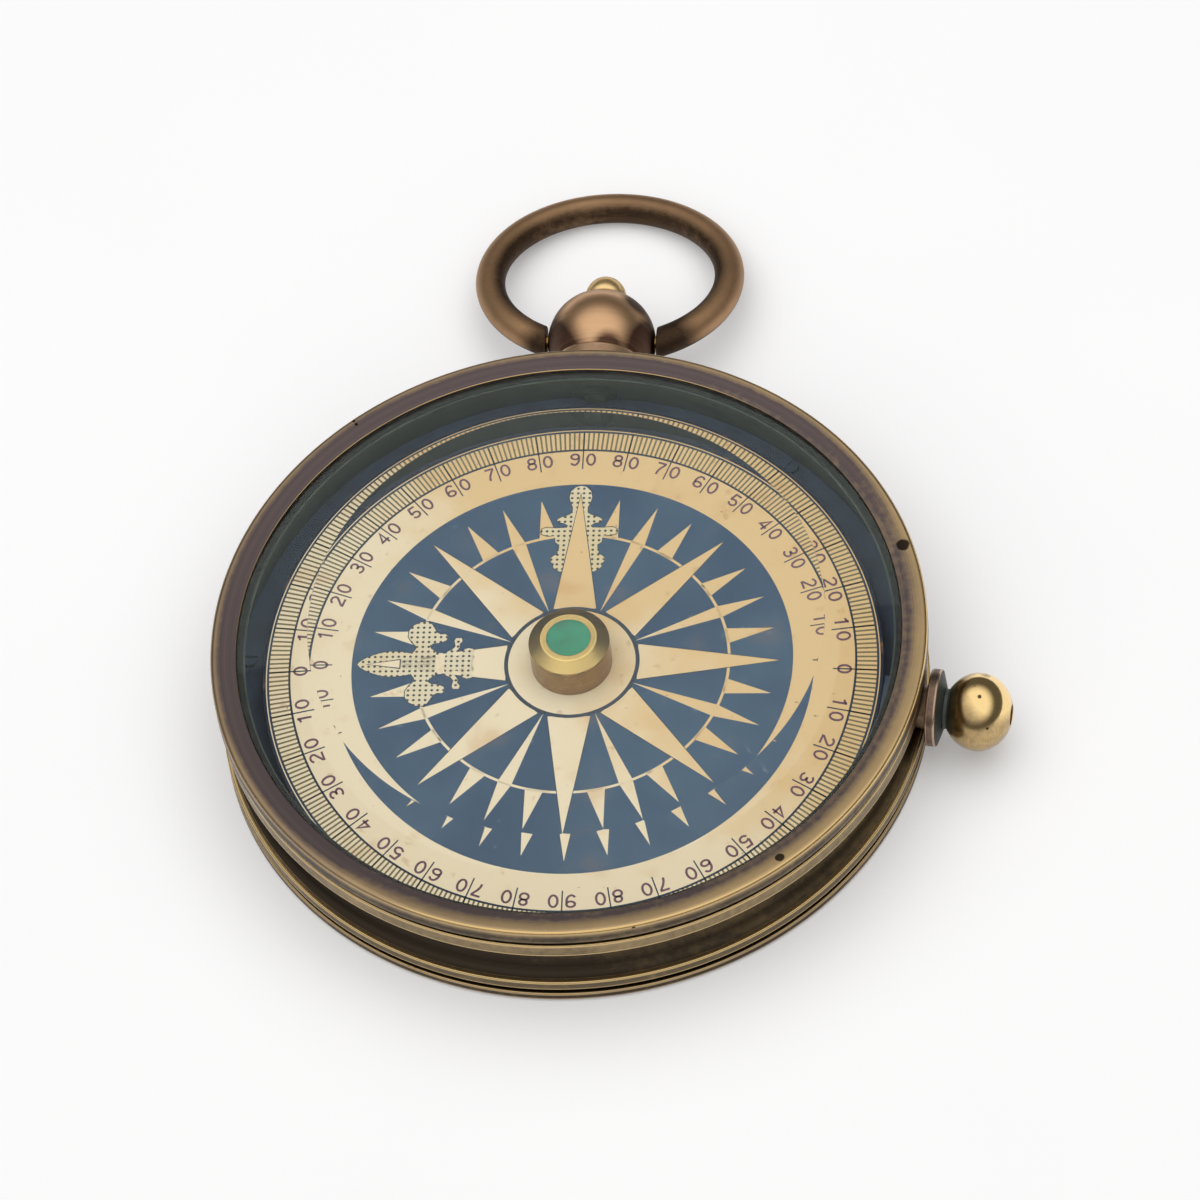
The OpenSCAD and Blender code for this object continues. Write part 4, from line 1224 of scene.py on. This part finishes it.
@dataclass
class Pendant:
    """Ball pendant with its collar and finial, and the bow that swings on it."""

    axis_z: float = 5.875
    bore_r: float = 1.03
    stem_y: float = 32.6
    stem_r: float = 2.3
    stem_end: float = 1.6
    collar_y: Point = (37.65, 39.9)
    collar_r: float = 5.2
    ball_y: float = 43.6
    ball_r: float = 5.85
    finial_r: float = 2.37
    finial_h: float = 0.85
    screw_r: float = 1.0
    screw_end: float = -11.95
    bow_half_w: float = 13.05
    bow_half_l: float = 11.8
    bow_end_rise: float = 0.121
    wire_r: float = 1.61
    bow_gap: float = 0.15

    def collar(self, finishes: Finishes) -> None:
        """Turns the round collar between the case and the ball, with its stem painted black as shade
        inside the case.
        """
        low, high = (y - self.stem_y for y in self.collar_y)
        end = self.stem_end
        corners = [
            (self.bore_r, 0), (self.stem_r, 0), (self.stem_r, end), (self.stem_r, low),
            (self.collar_r, low, 0.15, 0.6), (self.collar_r, high, 0.25, 1.0),
            (self.bore_r, high),
        ]
        place = along_y(self.stem_y, self.axis_z)
        section = soften(corners, 0.15)
        mesh = turned_mesh("collar_turned", section, 128, place, lambda r, z: int(z < end - 0.1))
        piece = show(mesh, finishes["collar"], finishes["lacquer"])
        settle(piece, Body.CASE, "pendant_collar")

    def ball(self, finishes: Finishes) -> None:
        """Turns the ball, flat on its seat and under the finial."""
        seat, top, r = self.collar_y[1] - self.ball_y, self.ball_top, self.ball_r
        low, high = (math.degrees(math.asin(z / r)) for z in (seat, top))
        section = [(self.bore_r, seat), *arc(0, 0, r, r, low, high, 48), (self.bore_r, top)]
        mesh = turned_mesh("ball_turned", section, 160, along_y(self.ball_y, self.axis_z))
        rub(mesh, (0.0, 0.15, 1), (0.4, 0.97), 0.85)
        settle(show(mesh, finishes["ball"]), Body.CASE, "pendant_ball")

    @property
    def ball_top(self) -> float:
        """Returns the height of the flat under the finial, from the ball's middle."""
        return math.sqrt(self.ball_r**2 - self.finial_r**2)

    def finial(self, finishes: Finishes) -> None:
        """Turns the domed finial, waisted above its foot, on a screw painted black as shade inside
        the case.
        """
        top, r = self.ball_top, self.finial_r
        section = [
            (0, self.screw_end), (self.screw_r, self.screw_end), (self.screw_r, top + 0.01),
            (r - 0.05, top + 0.01), (r, top + 0.07, 0, 0.8), (r - 0.02, top + 0.2, 0, 0.8),
            (r - 0.2, top + 0.34), (r - 0.27, top + 0.5), (r - 0.18, top + 0.68),
            *arc(0, top + self.finial_h, r - 0.14, r - 0.02, 0, 90, 16),
        ]
        place = along_y(self.ball_y, self.axis_z)
        # The screw below the ball's middle is painted black as shade inside the case
        mesh = turned_mesh("finial_turned", section, 96, place, lambda r, z: int(z < 0), 50)
        rub(mesh, (0, 0.3, 1), (0.2, 0.9), 0.8)
        piece = show(mesh, finishes["finial"], finishes["lacquer"])
        settle(piece, Body.CASE, "finial_screw")

    def bow(self, finishes: Finishes) -> None:
        """Draws the bow's wire along its oval."""
        end_x = self.ball_r + self.bow_gap
        middle = self.bow_half_l * math.cos(math.asin(end_x / self.bow_half_w)) + self.bow_end_rise
        sizes = {
            "Half Width": self.bow_half_w,
            "Half Length": self.bow_half_l,
            "End Rise": self.bow_end_rise,
            "Wire Radius": self.wire_r,
            "End X": end_x,
            "Hinge Y": self.ball_y,
            "Hinge Z": self.axis_z,
        }
        droop = math.asin((self.axis_z - self.wire_r) / (middle + self.bow_half_l))
        values = {key: size * MM for key, size in sizes.items()}
        mesh = wire_tree().grow("bow_wire", values | {"Droop": droop, "Finish": finishes["bow"]})
        mesh.shade_smooth()
        mesh.set_sharp_from_angle(angle=math.radians(50))
        centre = Vector((0, self.ball_y + middle, 0))
        flat, lift = Vector((1, 1, 0)), Vector((0, 0, 1.1))
        rub(mesh, lambda p: ((p - centre) * flat).normalized() + lift, (0.0, 0.8), 0.75)
        settle(show(mesh, finishes["bow"]), Body.BOW, "bow_ring")

    def build(self, finishes: Finishes) -> None:
        """Builds the pendant on the case and the bow on its own body."""
        for make in (self.collar, self.ball, self.finial, self.bow):
            make(finishes)


@dataclass
class LockKnob:
    """Ball knob of the card lock and the bush that it slides in."""

    axis_z: float = 5.875
    turn_deg: float = -6.0
    bush_x: Triple = (33.52, 37.8, 38.85)
    bush_r: Triple = (1.25, 2.3, 4.05)
    cone_h: float = 0.55
    neck_x: float = 39.45
    neck_r: float = 2.1
    ball_x: float = 42.93
    ball_r: float = 4.1
    ball_half_l: float = 3.65
    hole_r: float = 1.1
    hole_d: float = 0.9
    socket_r: float = 0.98
    socket_d: float = 3.3

    def along(self, x: float) -> Matrix:
        """Returns the matrix that lays a turned piece along the knob's axis."""
        turn = Matrix.Rotation(math.radians(self.turn_deg), 4, "Z")
        lay = Matrix.Rotation(math.radians(90), 4, "Y")
        return turn @ Matrix.Translation((x, 0, self.axis_z)) @ lay

    def bush(self, finishes: Finishes) -> None:
        """Turns the bush with its round collar and a cone painted dark as the shade under the knob.
        """
        bore, neck, collar = self.bush_r
        low, high = (x - self.bush_x[0] for x in self.bush_x[1:])
        top = high + self.cone_h
        corners = [
            (bore, 0), (neck, 0), (neck, low), (collar, low, 0.15, 0.7),
            (collar, high, 0.15, 1.0), (self.neck_r + 0.25, top, 0.1), (bore, top),
        ]
        place, section = self.along(self.bush_x[0]), soften(corners, 0.12)
        # The cone's faces take the dark lining finish: painted shade between the bush and the knob
        mesh = turned_mesh("bush_turned", section, 128, place, lambda r, x: int(x > high + 0.02))
        piece = show(mesh, finishes["bush"], finishes["lining"])
        settle(piece, Body.CASE, "lock_bush")

    def knob(self, finishes: Finishes) -> None:
        """Turns the ball knob with its short neck painted dark as shade, and the hole in its end."""
        radii = (self.neck_r, self.hole_r + 0.1)
        neck, hole = (math.degrees(math.asin(r / self.ball_r)) for r in radii)
        middle = self.ball_x - self.neck_x
        ball = arc(0, middle, self.ball_r, self.ball_half_l, neck - 90, 90 - hole, 56)
        end = ball[-1][1]
        section = [
            (self.socket_r, 0), (self.neck_r, 0),
            *ball,
            (self.hole_r, end - 0.05), (self.hole_r, end - self.hole_d),
            (0, end - self.hole_d - 0.3), (0, self.socket_d), (self.socket_r, self.socket_d),
        ]
        place = self.along(self.neck_x)
        # The neck and the foot of the ball take the dark lining finish: painted shade beside the
        # bush
        mesh = turned_mesh("knob_turned", section, 160, place, lambda r, x: int(x < 0.6))
        rub(mesh, (0.55, 0.1, 1), (0.5, 0.97), 0.9)
        piece = show(mesh, finishes["knob"], finishes["lining"])
        settle(piece, Body.PLUNGER, "lock_knob")

    def build(self, finishes: Finishes) -> None:
        """Builds the bush on the case and the knob on the plunger."""
        self.bush(finishes)
        self.knob(finishes)


@dataclass
class Works:
    """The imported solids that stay: the works under the card and the small fixings."""

    nodes_in: dict[str, tuple[str, ...]] = field(
        default_factory=lambda: {
            "gasket": ("crystal_gasket",),
            # The works under the card are painted dark as the shade there
            "dark": ("base_plate", "plate_screws", "outer_bridge", "bridge_screws", "pull_bar"),
            "works": (
                "pivot_post", "lift_ring", "inner_bridge", "lock_stem", "magnet_rivets", "hub_nut",
                "bow_pins",
            ),
            "steel": ("post_nut", "pivot_needle", "magnet_bars"),
            "stock": ("card_disc",),
            "aluminium": ("card_backing",),
            "jewel": ("cap_jewel",),
            "lacquer": ("finial_nut",),
        }
    )

    def build(self, finishes: Finishes) -> None:
        """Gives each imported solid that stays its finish."""
        for finish, nodes in self.nodes_in.items():
            for node in nodes:
                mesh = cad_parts[node].data
                mesh.materials.clear()
                mesh.materials.append(finishes[finish])
                LOG.info("packed piece %s in %s", node, finish)


@dataclass
class Studio:
    """White table, soft light from above and the camera."""

    camera_mm: Triple = (90.116, -481.529, 686.791)
    aim_mm: Triple = (1.474, 13.242, 0.5)
    roll_deg: float = -7.642
    lens: float = 240.0
    sensor: float = 36.0
    view_m: Point = (0.01, 20.0)
    table_mm: float = 3200.0
    table_gap_mm: float = 0.01
    box_m: Triple = (-0.08, 0.15, 1.0)
    box_size_m: float = 1.6
    box_watts: float = 6.2
    dome_way: Triple = (-0.05, -0.2, 0.98)
    dome_reach: Point = (0.35, 0.8)
    dome_levels: Point = (0.1, 1.0)
    dome_tone: Triple = (1.0, 0.99, 0.975)

    def camera(self) -> None:
        """Places the camera at the photograph's angle."""
        lens = bpy.data.cameras.new("camera")
        lens.lens, lens.sensor_width = self.lens, self.sensor
        lens.clip_start, lens.clip_end = self.view_m
        holder = bpy.data.objects.new("camera", lens)
        bpy.context.scene.collection.objects.link(holder)
        eye, aim = Vector(self.camera_mm) * MM, Vector(self.aim_mm) * MM
        look = (aim - eye).to_track_quat("-Z", "Y").to_matrix()
        turn = look @ Matrix.Rotation(math.radians(self.roll_deg), 3, "Z")
        holder.matrix_world = Matrix.Translation(eye) @ turn.to_4x4()
        bpy.context.scene.camera = holder

    def lamp(self) -> None:
        """Hangs a soft box that faces the compass, out of the crystal's reflections."""
        light = bpy.data.lights.new("top_box", "AREA")
        light.shape = "RECTANGLE"
        light.size = light.size_y = self.box_size_m
        light.energy = self.box_watts
        holder = bpy.data.objects.new("top_box", light)
        bpy.context.scene.collection.objects.link(holder)
        place = Vector(self.box_m)
        facing = (-place).to_track_quat("-Z", "Y").to_matrix().to_4x4()
        holder.visible_glossy = False
        holder.matrix_world = Matrix.Translation(place) @ facing

    def sky(self) -> None:
        """Hangs a white dome over the front of the table; the rest of the room is dim."""
        world = bpy.data.worlds.new("studio")
        bpy.context.scene.world = world
        world.use_nodes = True
        world.node_tree.nodes.clear()
        node = partial(add_node, world.node_tree)
        way = node("ShaderNodeTexCoord").outputs["Generated"]
        lean = node(VECTOR, way, self.dome_way, operation="DOT_PRODUCT")
        level = node(RANGE, lean, *self.dome_reach, interpolation_type=SMOOTH)
        wall, dome = ((*(v * tone for tone in self.dome_tone), 1.0) for v in self.dome_levels)
        colour = node(MIX, level, wall, dome, data_type="RGBA")
        node("ShaderNodeOutputWorld", node("ShaderNodeBackground", colour, 1.0))

    def table(self) -> None:
        """Lays the white table that the compass lies on."""
        half, under = self.table_mm / 2 * MM, -self.table_gap_mm * MM
        sides = ((-half, -half), (half, -half), (half, half), (-half, half))
        mesh = bpy.data.meshes.new("table")
        mesh.from_pydata([(x, y, under) for x, y in sides], [], [(0, 1, 2, 3)])
        show(mesh, TableCard("white_card").make())

    def build(self) -> None:
        """Sets up the camera, the table, the sky and the lamp."""
        self.camera()
        self.table()
        self.sky()
        self.lamp()
        bpy.context.scene.view_settings.view_transform = "Standard"


def make_finishes() -> Finishes:
    """Makes every finish of the compass.

    Returns:
        Finish name to material.
    """
    pendant = {"centre_mm": (0, 43.6, 5.875), "turn_deg": (90, 0, 0)}
    knob = {"centre_mm": (0, 0, 5.875), "turn_deg": (0, -90, 6)}
    sunned = (9.0, 12.0, 0.0)
    # Screw holes and dents in the bezel, and dents in the knob: place and size, in mm
    bezel_marks = (
        (34.4, 11.9, 12.7, 0.8),
        (23.7, -27.7, 12.8, 0.55),
        (9.3, -36.3, 12.4, 0.25),
        (-24.9, 27.5, 12.8, 0.2),
        (-24.6, 27.1, 12.8, 0.2),
    )
    knob_marks = ((42.5, -4.1, 9.7, 0.3), (43.0, -5.3, 9.7, 0.3), (43.8, -7.8, 7.7, 0.2))
    # Dark patches beside the knob's neck, round the ball's foot and sides, and at the bow's ends:
    # place and size, in mm
    knob_patches = ((39.0, -4.1, 6.8, 2.1), (43.6, -2.0, 9.2, 0.9))
    bow_patches = ((-6.4, 42.8, 6.4, 3.1), (7.4, 43.4, 6.4, 4.2))
    ball_patches = (
        (-3.9, 41.5, 8.6, 3.7),
        (3.6, 46.0, 9.8, 1.9),
        (1.2, 40.0, 10.6, 1.8),
        (4.6, 42.0, 8.6, 2.4),
    )
    finishes = {
        # Brass turned and aged in hand: dull olive tan, its sharp rims rubbed pale
        "cover": TurnedBrass("cover_turned_brass", "#c8ae83", "#3b3229", "#55493b", 1.0, 0.25),
        # The same on the flanges: greyer tan, paler towards its upper flange as painted light
        "case": TurnedBrass(
            "case_turned_brass", "#d2b682", "#544938", "#7c6c55", 1.08, 0.3,
            # The lean pales it upwards: painted light on the upper flange
            lean=(0.0, 0.0, -32.0),
        ),
        # Brass in the deep groove and the necks, tarnished, with painted shade: nearly black below
        # and on the left, brown above
        "waist": TurnedBrass(
            "groove_tarnish_and_shade_brass", "#86704a", "#302a25", "#4b4236", 1.32, 0.3,
            # The lean darkens it downwards and to the left: painted shade in the hollow
            lean=(-9.0, 0.0, -70.0),
        ),
        # Chemically blackened brass inside the case: dark, faintly green, a soft sheen; the same
        # finish is painted shade on the knob's neck and the bush's cone
        "lining": WorksMetal("dark_lining_and_shade", "#4c524d", "#3c413f", 0.5, 0.4),
        # Dark navy on the plate, bridges and screws under the card: painted shade under the card,
        # seen through the crystal
        "dark": WorksMetal("dark_works_shade", "#39445e", "#2d364c", 0.5, 0.3),
        # Turned brass with a thin mauve brown skin, bare gold along its outer edge; paler towards
        # the front and the right as painted light
        "bezel": TurnedBrass(
            "bezel_turned_brass", "#e6c488", "#584e50", "#796c6a", 1.08, 0.18,
            # The lean pales it towards the front and the right and darkens it to the left and far
            # side: painted light and shade
            dull=0.4, lean=(-4.0, 1.5, 0.0), marks_mm=bezel_marks,
        ),
        # Ground and polished glass: clear, doubled numbers under its bevel
        "crystal": PolishedCrystal("mineral_glass"),
        # Uncoated paper, yellowed: warm cream, pale to one side, with stains and flecks
        "paper": CardPrint("card_paper", "#f4dfc0", "#e8c390", lean=sunned),
        # The same paper, its rim and cut side painted dark as the shade under the bezel: a dark line
        # round the scale
        "stock": CardPrint("card_stock", "#f4dfc0", "#e8c390", edge_mm=30.42, lean=sunned),
        # Lithograph inks, matt and scuffed: dusty blue, slate, olive and plum
        "blue": CardPrint("blue_ink", "#2d4766", "#3f5873", 0.2, 0.5, 0.6),
        "line": CardPrint("slate_ink", "#2c3548", "#3a4454", 0.1, 0.15, 0.6),
        "tick": CardPrint("olive_ink", "#746a50", "#857659", 0.4, 0.1, 0.6),
        "number": CardPrint("plum_ink", "#6a4656", "#785663", 0.2, 0.2, 0.6),
        # Cream ground with rows of ink dots: a pale grey from afar
        "dotted": CardPrint("dotted_print", "#e8d8bd", "#dfcaa2", 0.4, dots_deg=-1.5),
        # Brass turned with a fine tool and polished: clean yellow gold, sharp highlights
        "cap": TurnedBrass(
            "cap_turned_brass", "#dab676", "#6a5036", "#8f704c", 0.82, 0.3, 0.18, 0.32
        ),
        # Poured enamel, garnet and rubber: cloudy green gloss, deep red gloss, flat black
        "inlay": Filler("green_enamel", "#148a66", "#0f6a50", 0.15),
        "jewel": Filler("garnet_jewel", "#8e3326", "#5d1d16", 0.08, 0.8),
        "gasket": Filler("black_rubber", "#151515", "#232321", 0.7, 1.0),
        # Painted shade on the stem, screw and nut inside the case: black without a shine
        "lacquer": Filler("black_inside_shade", "#1c201f", "#272a29", 0.65, 2.0),
        # Copper-rich brass, satin from handling: rosy tan, browner away from its rubbed rims and in
        # patches
        "collar": TurnedBrass(
            "collar_turned_brass", "#e2bc98", "#664e3e", "#99775f", 0.45,
            shine=0.36, dull=0.5, **pendant,
        ),
        "ball": TurnedBrass(
            "ball_turned_brass", "#dfb48a", "#3d2d20", "#664a3c", 0.95, 0.4, 0.36, 0.5,
            ring_mm=0.2, ring_depth=1.0, patches_mm=ball_patches, **pendant,
        ),
        # Yellow brass, rubbed bright: satin gold
        "finial": TurnedBrass(
            "finial_turned_brass", "#ffdc9e", "#6b4d30", "#8f6c42", 0.42,
            shine=0.34, dull=0.48, **pendant,
        ),
        # Drawn wire, no tool rings: brown satin, rubbed outside, dark at its ends
        "bow": TurnedBrass(
            "bow_drawn_brass", "#ba9570", "#3f3128", "#5d4937", 1.0, 0.4, 0.5, 0.62,
            ring_depth=0.0, patches_mm=bow_patches,
        ),
        # Copper-rich brass, seldom touched: rosy brown
        "bush": TurnedBrass("bush_turned_brass", "#c4a48c", "#4c4038", "#6f6056", 0.8, **knob),
        # Brass burnished by fingers: bright gold that mirrors the table, a few dents
        "knob": TurnedBrass(
            "knob_turned_brass", "#fddc9c", "#564430", "#8f7657", 0.7, 0.3, 0.12, 0.3,
            patches_mm=knob_patches, marks_mm=knob_marks, **knob,
        ),
        # Machined brass, turned steel and rolled aluminium inside: clean, faintly clouded
        "works": WorksMetal("machined_brass"),
        "steel": WorksMetal("turned_steel", "#8d9095", "#5b5e63"),
        "aluminium": WorksMetal("sheet_aluminium", "#b9bcbe", "#8e9194"),
    }
    return {key: finish.make() for key, finish in finishes.items()}


def main() -> None:
    """Builds the compass piece by piece, then the studio."""
    logging.basicConfig(level=logging.INFO)
    finishes = make_finishes()
    for part in (Works(), Case(), CompassCard(), Pendant(), LockKnob()):
        part.build(finishes)
    Studio().build()


if __name__ == "__main__":
    main()
